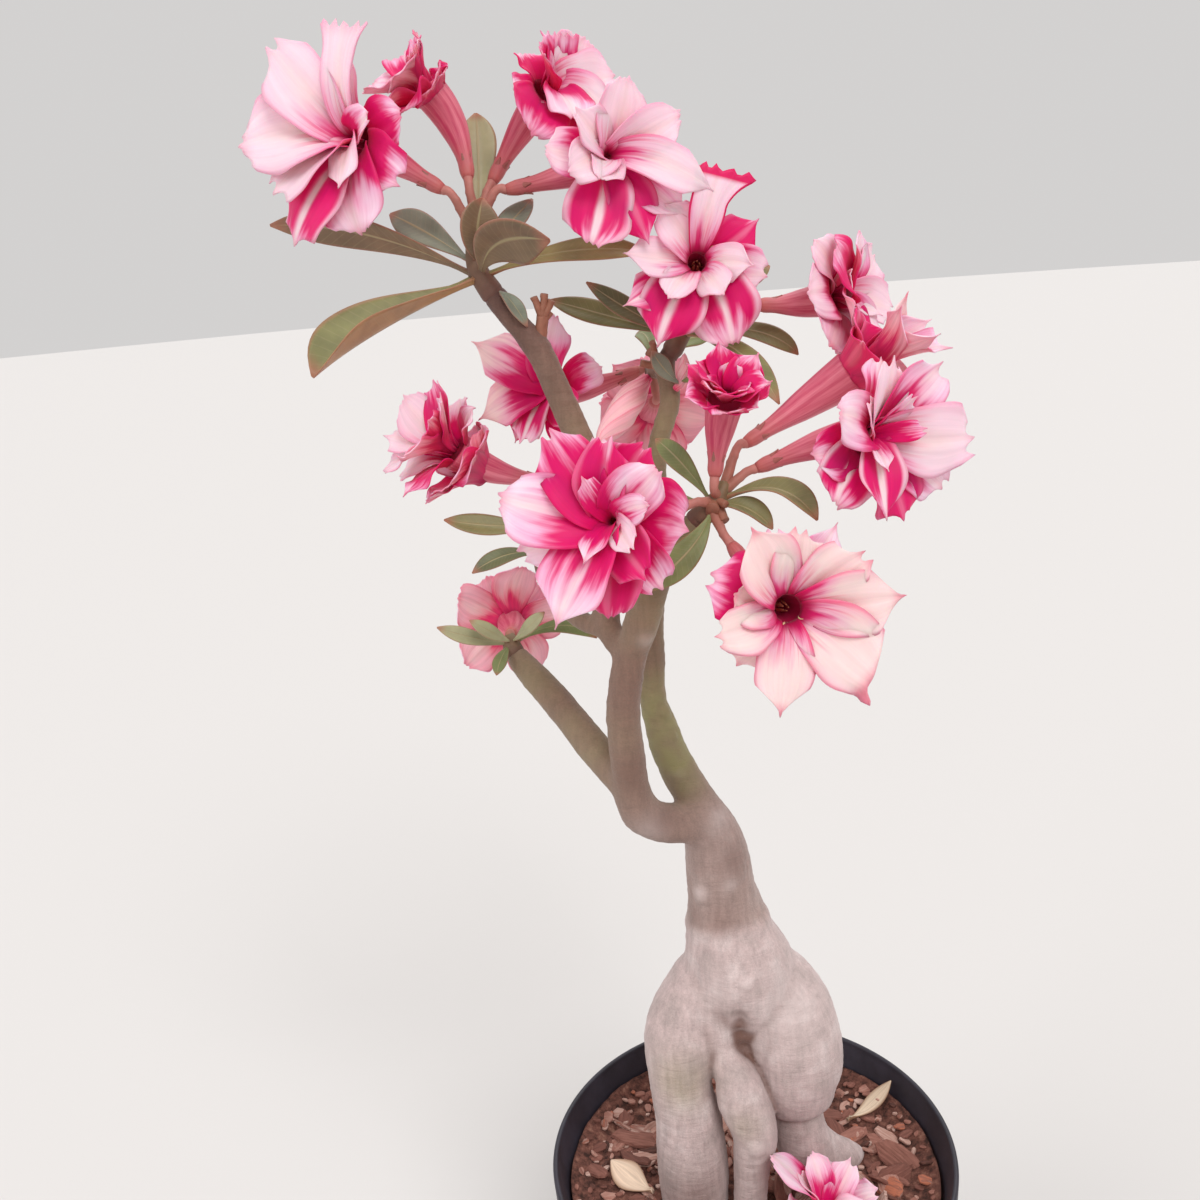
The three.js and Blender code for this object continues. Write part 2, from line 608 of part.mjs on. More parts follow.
// A closed bud beside the back twig, hanging forward, and a small shoot on the back branch.
const LARGE_BUD = [
  [-28.25, 50, 544.05, 1.9], [-32, 48, 541, 2], [-36, 41, 536, 2.6], [-41, 31, 530, 5.4],
  [-45, 24, 526, 6], [-48.5, 18, 523, 3.4], [-50, 15.5, 521.5, 1.2],
];
const SMALL_BUD = [
  [-16.2, 32.6, 540, 1.6], [-13.6, 31, 543, 2], [-12, 30.5, 549, 2.8], [-11.5, 31, 554, 1],
];
const SHOOT_LEAVES = [
  [[-14.5, 31.5, 542], [-20, 24, 549], [-25, 20, 558], 6, [0.2, -1, 0.4]],
  [[-14, 31, 543], [-6, 24, 546], [1, 20, 551], 6, [0.2, -1, 0.6]],
];

// ---------------------------------------------------------------- pot and soil

function lathe(profile) {
  return solidOf(new THREE.LatheGeometry(profile.map(([r, z]) => new THREE.Vector2(r, z)), POT_SIDES)
    .rotateX(Math.PI / 2));
}

const wallRadiusAt = (z) => (
  POT_BASE_RADIUS + ((POT_WALL_TOP_RADIUS - POT_BASE_RADIUS) * z) / (POT_HEIGHT - RIM_HEIGHT));
const insideRadiusAt = (z) => wallRadiusAt(z) - POT_WALL;

function pot() {
  const rimBottom = POT_HEIGHT - RIM_HEIGHT;
  const inside = POT_RIM_RADIUS - RIM_THICKNESS;
  const body = lathe([
    [0, 0],
    [POT_BASE_RADIUS - 3, 0],
    [POT_BASE_RADIUS, 3],
    [POT_WALL_TOP_RADIUS, rimBottom],
    [POT_RIM_RADIUS - 0.8, rimBottom],
    [POT_RIM_RADIUS, POT_HEIGHT - 1.6],
    [POT_RIM_RADIUS - 1, POT_HEIGHT],
    [inside - 0.8, POT_HEIGHT],
    [insideRadiusAt(rimBottom), rimBottom],
    [insideRadiusAt(POT_FLOOR), POT_FLOOR],
    [0, POT_FLOOR],
  ]);
  const holes = Array.from({ length: DRAIN_HOLES }, (_, i) => {
    const angle = (2 * Math.PI * i) / DRAIN_HOLES;
    return solidOf(new THREE.CylinderGeometry(DRAIN_RADIUS, DRAIN_RADIUS, 3 * POT_FLOOR, 8)
      .rotateX(Math.PI / 2)
      .translate(DRAIN_CIRCLE * Math.cos(angle), DRAIN_CIRCLE * Math.sin(angle), POT_FLOOR / 2));
  });
  return body.subtract(wasm.Manifold.union(holes));
}

// Where something lies on the soil, no chip lies under it: [x, y, radius].
const FALLEN_BLOOM_SPOT = [34, -32];
const BARE_SPOTS = [[...FALLEN_BLOOM_SPOT, 9], [64, 44, 16], [-62, -8, 16]];

function soil() {
  const bottom = POT_FLOOR + SEAT_GAP;
  const edge = insideRadiusAt(SOIL_TOP) - 0.5;
  const foot = insideRadiusAt(bottom) - 0.5;
  const up = point([0, 0, 1]);
  const ring = (radius, height) => (
    ringAt(point([0, 0, height]), point([0, -1, 0]), up, radius, POT_SIDES));
  const rings = [ring(foot, bottom), ring(edge, SOIL_TOP - 3), ring(edge - 3, SOIL_TOP)];
  const bed = loft(rings, point([0, 0, bottom]), point([0, 0, SOIL_TOP]));
  const holes = IN_SOIL.map((leg) => limb(leg, { sides: LEG_SIDES, grow: SEAT_GAP }));
  const legs = wasm.Manifold.union(holes);
  return fuse([fuse([bed, ...chips()]).subtract(legs)]);
}

// Flat chips of husk and bark, laid in turning rings by a seeded draw and half sunk in the soil.
function chips() {
  const random = randomFrom(CHIP_SEED);
  const placed = [];
  for (let i = 0; i < CHIP_COUNT; i += 1) {
    const radius = (insideRadiusAt(SOIL_TOP) - CHIP_MARGIN) * Math.sqrt((i + 0.6) / CHIP_COUNT);
    const angle = i * GOLDEN_ANGLE + 0.3 * random();
    const [x, y] = [radius * Math.cos(angle), radius * Math.sin(angle)];
    const size = 0.75 + 0.5 * random();
    const chip = new THREE.BoxGeometry(CHIP_LENGTH * size, CHIP_WIDTH * size, CHIP_THICKNESS)
      .rotateX(radians(CHIP_SLOPE * (random() - 0.5)))
      .rotateY(radians(CHIP_SLOPE * (random() - 0.5)))
      .rotateZ(Math.PI * random())
      .translate(x, y, SOIL_TOP + CHIP_RISE);
    const free = BARE_SPOTS.every(([cx, cy, r]) => Math.hypot(x - cx, y - cy) > r + CHIP_LENGTH / 2);
    if (free) {
      placed.push(solidOf(chip));
    }
  }
  return placed;
}

// ---------------------------------------------------------------- fallen on the soil

const FALLEN_BLOOM = {
  base: [...FALLEN_BLOOM_SPOT, SOIL_TOP + 1],
  throat: [...FALLEN_BLOOM_SPOT, SOIL_TOP + 6.5],
  face: [0.05, -0.1, 1],
  inner: [[104, 15, 14, 62], [20, 19, 13, 46], [-60, 19, 13, 44], [-140, 17, 13, 50]],
  outer: [[60, 22, 14, 30], [-20, 24, 15, 28], [-100, 23, 15, 28], [168, 20, 13, 34]],
};

function fallenBloom() {
  const frame = bloomFrame(FALLEN_BLOOM);
  const core = limb([
    [...FALLEN_BLOOM_SPOT, SOIL_TOP + SEAT_GAP, 4],
    [...FALLEN_BLOOM_SPOT, SOIL_TOP + 4, 6.4],
    [...FALLEN_BLOOM_SPOT, SOIL_TOP + 7, 5],
  ], { endDome: 2 });
  const petals = [
    ...FALLEN_BLOOM.inner.map((numbers, index) => (
      petal(frame, numbers, { rootRadius: 4, sink: 2, rise: 78, index }))),
    ...FALLEN_BLOOM.outer.map((numbers, index) => (
      petal(frame, numbers, { rootRadius: 5, sink: 3, rise: 60, index }))),
  ];
  return fuse([core, ...petals]);
}

// A curled blade lying on its level spot; its lowest points are a seat gap above the soil.
function lying(leafNumbers) {
  const solid = leaf(leafNumbers);
  const box = solid.boundingBox();
  return solid.translate(0, 0, SOIL_TOP + SEAT_GAP - box.min[2]);
}

const DRY_LEAF = [[52, 36, 150], [64, 46, 148], [77, 54, 158], 9, [0.2, -0.4, 1], 0.5];
const FALLEN_PETAL = [[-50, -14, 150], [-60, -6, 148], [-72, 3, 153], 15, [0, -0.3, 1], 0.35];

// ---------------------------------------------------------------- the plant in its pot

const plant = new THREE.Group();
const colours = {
  pot: '#2b2630',
  soil: '#5f3f36',
  wood: '#b3a396',
  leafy: '#7d8055',
  bloom: '#e58fa9',
  bud: '#cf2f68',
  dryLeaf: '#b9a27c',
  fallenPetal: '#c7a97f',
};

plant.add(meshOf('pot', pot(), colours.pot, 0.5));
plant.add(meshOf('soil', soil(), colours.soil, 0.95));
plant.add(meshOf('caudex_and_branches', wood(), colours.wood, 0.8));
Object.entries(LEAFY_TIPS).forEach(([name, tip]) => {
  plant.add(meshOf(name, leafyTip(tip), colours.leafy, 0.6));
});
Object.entries(BLOOMS).forEach(([name, flower]) => {
  plant.add(meshOf(name, bloom(flower), colours.bloom, 0.6));
});
plant.add(meshOf('bud_large', limb(LARGE_BUD, { sides: 8 }), colours.bud, 0.6));
plant.add(meshOf(
  'shoot_with_bud',
  fuse([limb(SMALL_BUD, { sides: 7 }), ...SHOOT_LEAVES.map(leaf)]),
  colours.leafy,
  0.6,
));
plant.add(meshOf('fallen_bloom', fallenBloom(), colours.bloom, 0.6));
plant.add(meshOf('dry_leaf', lying(DRY_LEAF), colours.dryLeaf, 0.8));
plant.add(meshOf('fallen_petal', lying(FALLEN_PETAL), colours.fallenPetal, 0.7));

export default plant;
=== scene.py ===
import math
import random

import bmesh
import bpy
import numpy as np
from mathutils import Matrix, Vector, noise


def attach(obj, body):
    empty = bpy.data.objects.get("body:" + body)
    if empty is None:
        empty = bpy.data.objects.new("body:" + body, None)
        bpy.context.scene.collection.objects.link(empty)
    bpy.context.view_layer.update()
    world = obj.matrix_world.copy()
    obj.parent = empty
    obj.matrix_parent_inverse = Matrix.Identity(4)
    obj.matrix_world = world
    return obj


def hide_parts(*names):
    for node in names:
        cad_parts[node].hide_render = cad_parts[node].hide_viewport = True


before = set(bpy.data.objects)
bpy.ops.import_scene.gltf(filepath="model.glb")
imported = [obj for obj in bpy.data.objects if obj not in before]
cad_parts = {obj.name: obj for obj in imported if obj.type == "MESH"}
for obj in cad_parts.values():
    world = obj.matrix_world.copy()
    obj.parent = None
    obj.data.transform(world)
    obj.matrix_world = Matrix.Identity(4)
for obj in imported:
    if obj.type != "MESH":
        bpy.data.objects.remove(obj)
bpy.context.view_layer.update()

# ------------------------------------------------------------------ pot
# A 20 cm nursery pot of black polypropylene, injection moulded in one shot: a thin tapering
# wall, a flat floor with four drain holes, and a rolled rim that stiffens the mouth.

MM = 0.001
POT_HEIGHT = 165
POT_RIM_RADIUS = 100
POT_WALL_TOP_RADIUS = 95
POT_BASE_RADIUS = 72
POT_WALL = 2.2
POT_FLOOR = 3
RIM_HEIGHT = 15
RIM_THICKNESS = 2.6
RIM_ROUNDING = 1.3
POT_SEGMENTS = 160
DRAIN_HOLES = 4
DRAIN_RADIUS = 5
DRAIN_CIRCLE = 52

POLYPROPYLENE_BLACK = "#24212a"
POLYPROPYLENE_SCUFFED = "#383440"
SCUFF_SIZE = 22  # mm, across a worn patch of the rim
MOULD_GRAIN = 0.5  # mm, the fine texture of the mould, drawn this coarse so that it shows


class Draft:
    """A piece while it is put together, in millimetres. Each point also carries what the
    materials read: its place on its own petal, leaf or chip, and that one's finish."""

    def __init__(self):
        self.points = []
        self.faces = []
        self.slots = []
        self.place = []
        self.finish = []
        self.count = 0

    def join(self, points, faces, slot=0, place=None, finish=(0, 0, 0, 0)):
        points = np.asarray(points, float).reshape(-1, 3)
        self.points.append(points)
        self.faces.extend(tuple(index + self.count for index in face) for face in faces)
        self.slots.extend([slot] * len(faces) if isinstance(slot, int) else slot)
        self.place.append(np.zeros_like(points) if place is None else np.asarray(place, float))
        self.finish.append(np.broadcast_to(finish, (len(points), 4)))
        self.count += len(points)


def store(mesh, place, finish):
    """Keeps the place and the finish of each point in the mesh."""
    for name, kind, key, values in (("place", "FLOAT_VECTOR", "vector", place),
                                    ("finish", "FLOAT_COLOR", "color", finish)):
        if name in mesh.attributes:
            mesh.attributes.remove(mesh.attributes[name])
        mesh.attributes.new(name, kind, "POINT").data.foreach_set(key, np.ravel(values))


def placed(name, data):
    """An object of that mesh, lamp or camera, in the scene."""
    made = bpy.data.objects.new(name, data)
    bpy.context.scene.collection.objects.link(made)
    return made


def finished_piece(draft, name, materials, nodes=(), sharp_angle=None):
    """Makes the draft's mesh a piece of the object: it rides on the pot's body, and stands
    for the nodes that it replaces."""
    mesh = bpy.data.meshes.new(name)
    mesh.from_pydata((np.concatenate(draft.points) * MM).tolist(), [], draft.faces)
    mesh.polygons.foreach_set("material_index", draft.slots)
    store(mesh, np.concatenate(draft.place), np.concatenate(draft.finish))
    shells = bmesh.new()
    shells.from_mesh(mesh)
    bmesh.ops.recalc_face_normals(shells, faces=shells.faces)
    shells.to_mesh(mesh)
    shells.free()
    mesh.shade_smooth()
    if sharp_angle:
        mesh.set_sharp_from_angle(angle=math.radians(sharp_angle))
    for material in materials:
        mesh.materials.append(material)
    piece = placed(name, mesh)
    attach(piece, "root")
    if nodes:
        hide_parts(*nodes)
    return piece


def settle(piece):
    """Applies the piece's modifiers to its mesh."""
    shaped = piece.evaluated_get(bpy.context.evaluated_depsgraph_get())
    mesh = bpy.data.meshes.new_from_object(shaped)
    piece.modifiers.clear()
    piece.data = mesh


def grid_faces(rows, columns, closed=False):
    """Faces of a grid of points stored row by row; closed joins the last column to the first."""
    faces = []
    for row in range(rows - 1):
        for column in range(columns if closed else columns - 1):
            a = row * columns + column
            b = row * columns + (column + 1) % columns
            faces.append((a, b, b + columns, a + columns))
    return faces


def closed_faces(rings, sides):
    """Faces of rings that are closed by a point at each end; those two points come last."""
    faces = grid_faces(rings, sides, closed=True)
    first, last = rings * sides, rings * sides + 1
    for side in range(sides):
        after = (side + 1) % sides
        faces.append((first, after, side))
        faces.append((last, (rings - 1) * sides + side, (rings - 1) * sides + after))
    return faces


def angles_round(count):
    return np.arange(count) * 2 * math.pi / count


def turned(profile, segments):
    """Points of a turned shape from its profile of (radius, height), without the two poles."""
    return np.array([
        (radius * math.cos(angle), radius * math.sin(angle), height)
        for radius, height in profile for angle in angles_round(segments)
    ])


def linear(hex_colour):
    """The linear colour, with alpha, of an sRGB hex colour."""
    channels = [int(hex_colour[i:i + 2], 16) / 255 for i in (1, 3, 5)]
    return [c / 12.92 if c <= 0.04045 else ((c + 0.055) / 1.055) ** 2.4 for c in channels] + [1]


def add(look, kind, settings=None):
    """Adds a node to a material. A setting in small letters is a property of the node; stops
    are the (place, hex colour) pairs of a colour ramp, and a span is the two ends that a range
    maps from and the two that it maps to. Any other is a socket's value, a hex colour, or the
    output that is linked to it: of a node, the first one in use."""
    node = look.node_tree.nodes.new("ShaderNode" + kind)
    for key, value in (settings or {}).items():
        if key == "stops":
            elements = node.color_ramp.elements
            while len(elements) < len(value):
                elements.new(0.5)
            for element, (position, colour) in zip(elements, value):
                element.position = position
                element.color = linear(colour)
        elif key == "span":
            for socket, end in zip(node.inputs[1:5], value):
                socket.default_value = end
        elif isinstance(key, str) and key[0].islower():
            setattr(node, key, value)
        elif isinstance(value, (bpy.types.Node, bpy.types.NodeSocket)):
            if isinstance(value, bpy.types.Node):
                value = next(output for output in value.outputs if output.enabled)
            look.node_tree.links.new(value, node.inputs[key])
        else:
            node.inputs[key].default_value = linear(value) if isinstance(value, str) else value
    return node


def new_look(name):
    material = bpy.data.materials.new(name)
    material.use_nodes = True
    material.node_tree.nodes.clear()
    return material


def surfaced(look, settings):
    """Ends a material with its last two nodes."""
    add(look, "OutputMaterial", {"Surface": add(look, "BsdfPrincipled", settings)})
    return look


def per_metre(size_mm):
    """The noise scale that draws features of that size."""
    return 1 / (size_mm * MM)


def moulded_polypropylene():
    # Matt black with a grey bloom: light catches the rim, where handling has scuffed it.
    look = new_look("moulded_polypropylene")
    place = add(look, "TexCoord").outputs["Object"]
    scuffs = add(look, "TexNoise", {"Vector": place, "Scale": per_metre(SCUFF_SIZE),
                                    "Detail": 6, "Roughness": 0.65})
    colour = add(look, "ValToRGB", {"Fac": scuffs, "stops": [
        (0.4, POLYPROPYLENE_BLACK), (0.75, POLYPROPYLENE_SCUFFED)]})
    gloss = add(look, "MapRange", {"Value": scuffs, "span": (0, 1, 0.38, 0.62)})
    grain = add(look, "TexNoise", {"Vector": place, "Scale": per_metre(MOULD_GRAIN), "Detail": 2})
    relief = add(look, "Bump", {"Height": grain, "Strength": 0.25, "Distance": 0.0002})
    return surfaced(look, {"Base Color": colour, "Roughness": gloss, "IOR": 1.49,
                           "Normal": relief})


def inside_radius(height):
    """Radius of the pot's inside at a height."""
    slope = (POT_WALL_TOP_RADIUS - POT_BASE_RADIUS) / (POT_HEIGHT - RIM_HEIGHT)
    return POT_BASE_RADIUS + slope * height - POT_WALL


def rounding(centre_radius, centre_height, radius, start, end, steps=5):
    """Part of a circle in a profile, from a start to an end angle in degrees."""
    angles = [math.radians(start + (end - start) * i / steps) for i in range(steps + 1)]
    return [(centre_radius + radius * math.cos(a), centre_height + radius * math.sin(a))
            for a in angles]


def pot_profile():
    rim_bottom = POT_HEIGHT - RIM_HEIGHT
    top = POT_HEIGHT - RIM_ROUNDING
    return [
        (POT_BASE_RADIUS - 4, 0),
        *rounding(POT_BASE_RADIUS - 3, 3, 3, -90, -10),
        (POT_WALL_TOP_RADIUS - 0.6, rim_bottom - 1.5),
        (POT_WALL_TOP_RADIUS + 0.4, rim_bottom - 0.2),
        (POT_RIM_RADIUS - 1.4, rim_bottom),
        (POT_RIM_RADIUS - 0.7, rim_bottom + 0.6),
        (POT_RIM_RADIUS - 0.4, rim_bottom + 4),
        *rounding(POT_RIM_RADIUS - RIM_ROUNDING, top, RIM_ROUNDING, 0, 180, 10),
        (POT_RIM_RADIUS - RIM_THICKNESS - 0.6, top - 2),
        (inside_radius(rim_bottom) + 0.5, rim_bottom + 1),
        (inside_radius(rim_bottom), rim_bottom - 1),
        (inside_radius(POT_FLOOR + 2), POT_FLOOR + 2),
        (inside_radius(POT_FLOOR) - 2, POT_FLOOR),
    ]


profile = pot_profile()
pot = Draft()
pot.join(np.vstack([turned(profile, POT_SEGMENTS), (0, 0, 0), (0, 0, POT_FLOOR)]),
         closed_faces(len(profile), POT_SEGMENTS))
pot = finished_piece(pot, "nursery_pot", [moulded_polypropylene()], ["pot"], 35)

drill = bmesh.new()
for turn in angles_round(DRAIN_HOLES):
    middle = Vector((DRAIN_CIRCLE * math.cos(turn), DRAIN_CIRCLE * math.sin(turn), 0)) * MM
    bmesh.ops.create_cone(drill, cap_ends=True, segments=32, radius1=DRAIN_RADIUS * MM,
                          radius2=DRAIN_RADIUS * MM, depth=4 * POT_FLOOR * MM,
                          matrix=Matrix.Translation(middle))
drill_mesh = bpy.data.meshes.new("drain_drill")
drill.to_mesh(drill_mesh)
drill.free()
drill = placed("drain_drill", drill_mesh)
drained = pot.modifiers.new("drain_holes", "BOOLEAN")
drained.object = drill
drained.operation = "DIFFERENCE"
settle(pot)
bpy.data.objects.remove(drill)

# ------------------------------------------------------------------ potting mix
# A bed of coco peat, dark and crumbly, that fills the pot to a finger's width under the rim.
# The three root legs stand in it.

SOIL_TOP = 147
SOIL_RINGS = 70
SOIL_SEGMENTS = 220
SOIL_CLEARANCE = 0.5  # from the pot's wall
CRUMB = 5  # mm, across a crumb
CLOD = 22  # mm, across a rise or a hollow of the bed
HEAP = 6.5  # mm, how high the mix is heaped against the wall
HEAP_FOOT = 79  # mm from the middle, where the heap begins
# Nearly black: painted shade in the gaps between the crumbs.
PEAT_GAP_SHADE = "#3d2924"
PEAT_RED = "#724a40"
PEAT_LIGHT = "#9a7362"


def crumbly_peat():
    # Dead matt, reddish brown on the crumbs, with painted shade nearly black in the gaps.
    look = new_look("crumbly_coco_peat")
    place = add(look, "TexCoord").outputs["Object"]
    crumbs = add(look, "TexNoise", {"Vector": place, "Scale": per_metre(CRUMB),
                                    "Detail": 8, "Roughness": 0.7})
    # The low places of the crumb noise, the gaps, get painted shade.
    colour = add(look, "ValToRGB", {"Fac": crumbs, "stops": [
        (0.38, PEAT_GAP_SHADE), (0.55, PEAT_RED), (0.72, PEAT_LIGHT)]})
    relief = add(look, "Bump", {"Height": crumbs, "Strength": 0.8, "Distance": 0.0015})
    return surfaced(look, {"Base Color": colour, "Roughness": 0.95, "Specular IOR Level": 0.2,
                           "Normal": relief})


def bed_height(x, y):
    clods = noise.noise(Vector((x, y, 0)) / CLOD)
    crumbs = noise.noise(Vector((x, y, 7)) / CRUMB)
    heaped = min(max((math.hypot(x, y) - HEAP_FOOT) / (soil_edge - HEAP_FOOT), 0), 1)
    return SOIL_TOP - 1.2 + 1.3 * clods + 0.9 * crumbs + HEAP * heaped ** 1.3


soil_edge = inside_radius(SOIL_TOP) - SOIL_CLEARANCE
soil_foot = inside_radius(POT_FLOOR) - SOIL_CLEARANCE
bed_profile = [(soil_edge * (ring + 1) / SOIL_RINGS, SOIL_TOP) for ring in range(SOIL_RINGS)]
bed = turned(bed_profile, SOIL_SEGMENTS)
bed[:, 2] = [bed_height(x, y) for x, y, _ in bed]
side_profile = [(inside_radius(SOIL_TOP - 6) - SOIL_CLEARANCE, SOIL_TOP - 6),
                (soil_foot, POT_FLOOR + SOIL_CLEARANCE)]
soil = Draft()
soil.join(
    np.vstack([bed, turned(side_profile, SOIL_SEGMENTS), (0, 0, SOIL_TOP - 1),
               (0, 0, POT_FLOOR + SOIL_CLEARANCE)]),
    closed_faces(SOIL_RINGS + len(side_profile), SOIL_SEGMENTS))
finished_piece(soil, "potting_mix", [crumbly_peat()], ["soil"])

# ------------------------------------------------------------------ bark chips
# Flakes of coconut husk and pine bark strewn over the bed, from crumbs to pieces as long as
# a thumb. They lie as they fell: mostly flat, some tipped on edge.

CHIP_SIDES = 9
# The rings of a chip, from below: share of its outline, and height as a share of its thickness.
CHIP_RINGS = [(0.86, -0.5), (1, -0.15), (0.96, 0.3), (0.8, 0.5), (0.42, 0.52)]
CHIP_SIZES = [(27, 16, 78), (17, 10, 130), (9, 6, 330), (4.5, 3, 500)]  # length, width, count
FLAT_SHARE = 0.75  # of the chips that lie flat
FLAT_SLOPE = 14  # degrees, at most
TIPPED_SLOPE = 45
BARE_SPOTS = [(34, -32, 12), (64, 44, 12), (-62, -8, 12)]  # x, y, radius: something lies there
LEG_SPOTS = [(-29, -13, 15), (-2, -21, 7), (41, 10, 9), (28, 4, 10)]
CHIP_COLOURS = [(0.0, "#48302a"), (0.25, "#774c42"), (0.45, "#9b6a5d"), (0.6, "#b38b7e"),
                (0.75, "#c9aa9e"), (0.9, "#85564a"), (1.0, "#b66e54")]
BARK_FIBRE = 1.1  # mm, between the fibres along a chip


def flaked_bark():
    # Each flake has its own brown, from nearly black to a pale pinkish tan, with fine fibres.
    look = new_look("flaked_bark")
    place = add(look, "Attribute", {"attribute_name": "place"}).outputs["Vector"]
    tone = add(look, "Attribute", {"attribute_name": "finish"}).outputs["Color"]
    tone = add(look, "SeparateColor", {"Color": tone}).outputs["Red"]
    stretch = add(look, "Mapping", {"Vector": place, "Scale": (0.12, 1, 1)})
    fibres = add(look, "TexNoise", {"Vector": stretch, "Scale": 1 / BARK_FIBRE,
                                    "Detail": 4, "Roughness": 0.6})
    shade = add(look, "Math", {"operation": "MULTIPLY_ADD", 0: fibres, 1: 0.5, 2: -0.25})
    spread = add(look, "Math", {"operation": "ADD", 0: tone, 1: shade})
    colour = add(look, "ValToRGB", {"Fac": spread, "stops": CHIP_COLOURS})
    relief = add(look, "Bump", {"Height": fibres, "Strength": 0.7, "Distance": 0.0006})
    return surfaced(look, {"Base Color": colour, "Roughness": 0.88, "Specular IOR Level": 0.3,
                           "Normal": relief})


def chip(draft, draw, length, width, x, y):
    """One flake: rings from its underside over its broken edge to its top."""
    thickness = draw.uniform(0.12, 0.2) * length ** 0.8 + 0.6
    corners = [draw.uniform(0.72, 1.08) for _ in range(CHIP_SIDES)]
    bend = draw.uniform(-0.012, 0.02)
    seed = draw.uniform(0, 100)
    rows = []
    for share, level in CHIP_RINGS:
        for side, corner in enumerate(corners):
            angle = 2 * math.pi * (side + 0.3 * corner) / CHIP_SIDES
            px = length / 2 * share * corner * math.cos(angle)
            py = width / 2 * share * corner * math.sin(angle)
            rough = noise.noise(Vector((px / 3, py / 3, seed))) * 0.5 * thickness * share
            rows.append((px, py, level * thickness + rough * 0.6 - bend * py * py))
    local = np.array([*rows, (0, 0, -0.5 * thickness), (0, 0, 0.5 * thickness)])
    slope = FLAT_SLOPE if draw.random() < FLAT_SHARE else TIPPED_SLOPE
    turn = (Matrix.Rotation(draw.uniform(0, 2 * math.pi), 3, "Z")
            @ Matrix.Rotation(math.radians(draw.uniform(-slope, slope)), 3, "X")
            @ Matrix.Rotation(math.radians(draw.uniform(-slope, slope)), 3, "Y"))
    level = bed_height(x, y) + 0.3 * thickness + 0.12 * length * abs(turn[2][0])
    points = local @ np.array(turn).T + (x, y, level)
    draft.join(points, closed_faces(len(CHIP_RINGS), CHIP_SIDES), place=local + seed,
               finish=(draw.betavariate(1.6, 1.4), 0, 0, 1))


chips = Draft()
draw = random.Random(4)
for length, width, count in CHIP_SIZES:
    for _ in range(count):
        size = draw.uniform(0.7, 1.15)
        radius = (soil_edge - 0.55 * length) * math.sqrt(draw.random())
        angle = draw.uniform(0, 2 * math.pi)
        x, y = radius * math.cos(angle), radius * math.sin(angle)
        taken = LEG_SPOTS + (BARE_SPOTS if length > 9 else [])
        if all(math.hypot(x - a, y - b) > r + 0.3 * length for a, b, r in taken):
            chip(chips, draw, length * size, width * size, x, y)
finished_piece(chips, "bark_chips", [flaked_bark()], sharp_angle=40)

# ------------------------------------------------------------------ caudex and branches
# The plant's one grown piece of wood: a swollen caudex on three root legs, a short trunk, and
# branches that have been cut back and grown on. Thin grey skin over soft water-storing wood,
# with the scars of old leaves and roots. The lower ends of the legs are deep in the soil.

TRUNK = [
    (3, 6, 196, 9), (0, 8, 222, 15.5), (0, 10, 243, 23), (0, 10, 256, 26.5), (-2, 9, 267, 26),
    (-4, 9, 277, 23.2), (-6, 10, 288, 20.2), (-8, 10, 304, 16.2), (-9, 9, 321, 15.1),
    (-11, 8, 337, 13.4), (-15, 8, 349, 10),
]
LEFT_LEG = [
    (-15, 9, 258, 17.6), (-26, 5, 242, 18.6), (-31, 0, 228, 18.6), (-33, -5, 208, 15.2),
    (-30, -8, 187, 16.3), (-29, -11, 166, 17.4), (-29, -13, 144, 16), (-30, -17, 109, 14.2),
    (-32, -19, 66, 10.3),
]
MIDDLE_LEG = [
    (-14, -3, 241, 5), (-11, -7, 229, 7), (-6, -12, 218, 9.6), (-3, -15, 205, 12),
    (2, -18, 190, 11.1), (0, -20, 171, 8.7), (-2, -21, 146, 7.8), (-5, -20, 107, 7),
]
RIGHT_BULGE = [
    (8, 13, 254, 22.5), (20, 11, 233, 24.5), (23, 8, 215, 24), (23, 6, 200, 21.5),
    (24, 4, 187, 16.5),
]
RIGHT_ROOT = [
    (23, 6, 188, 12), (24, 3, 174, 13), (28, 3, 162, 13.5), (38, 8, 152, 11.5),
    (50, 15, 144, 8), (55, 23, 132, 5.2), (59, 28, 111, 4.3),
]
# Where the legs leave the neck their swollen flanks nearly touch, and leave a narrow crease.
LEFT_FLANK = [(-12, 0, 256, 12), (-13, -2, 243, 11.5), (-13, -3, 230, 10.5), (-12, -3, 214, 8)]
RIGHT_FLANK = [(9, 2, 256, 12), (9, 1, 243, 12.5), (10, 1, 228, 12.5), (12, 1, 212, 10)]
CREASE = [(-2, 0, 254, 12), (-2, 1, 240, 10.5), (-2, 2, 224, 9.5), (-1, 3, 208, 8)]
FRONT_BRANCH = [
    (-12, 6, 343, 12.1), (-25, 0, 346, 9.2), (-36, -5, 350, 9.1), (-43, -9, 359, 9),
    (-45, -12, 374, 8), (-46, -15, 397, 7.5), (-45, -16, 415, 7.4), (-40, -16, 435, 7.3),
    (-32, -18, 457, 7.1), (-27, -17, 470, 6.7), (-20, -17, 482, 5.8), (-10, -16, 491, 4.9),
]
BACK_BRANCH = [
    (-11, 10, 338, 11), (-17, 12, 351, 9.6), (-23.5, 16, 362, 8.6), (-29, 19, 374, 8.2),
    (-32.5, 22, 387, 7.4), (-35, 23, 398, 6.2), (-34, 26, 420, 5.6), (-31, 28, 460, 5),
    (-28, 31, 487, 4.5), (-26, 34, 513, 4.5), (-19, 37, 535, 4.4), (-21, 38, 550, 4.9),
    (-17, 38.5, 556, 4.6),
]
LOW_LEFT_BRANCH = [
    (-45, -10, 368, 8.1), (-55, -2, 377, 7.7), (-67, 8, 388, 7.4), (-78, 18, 399, 7),
    (-89, 26, 409, 6.6), (-98, 33, 417, 5.7), (-100, 34.5, 420, 4.9),
]
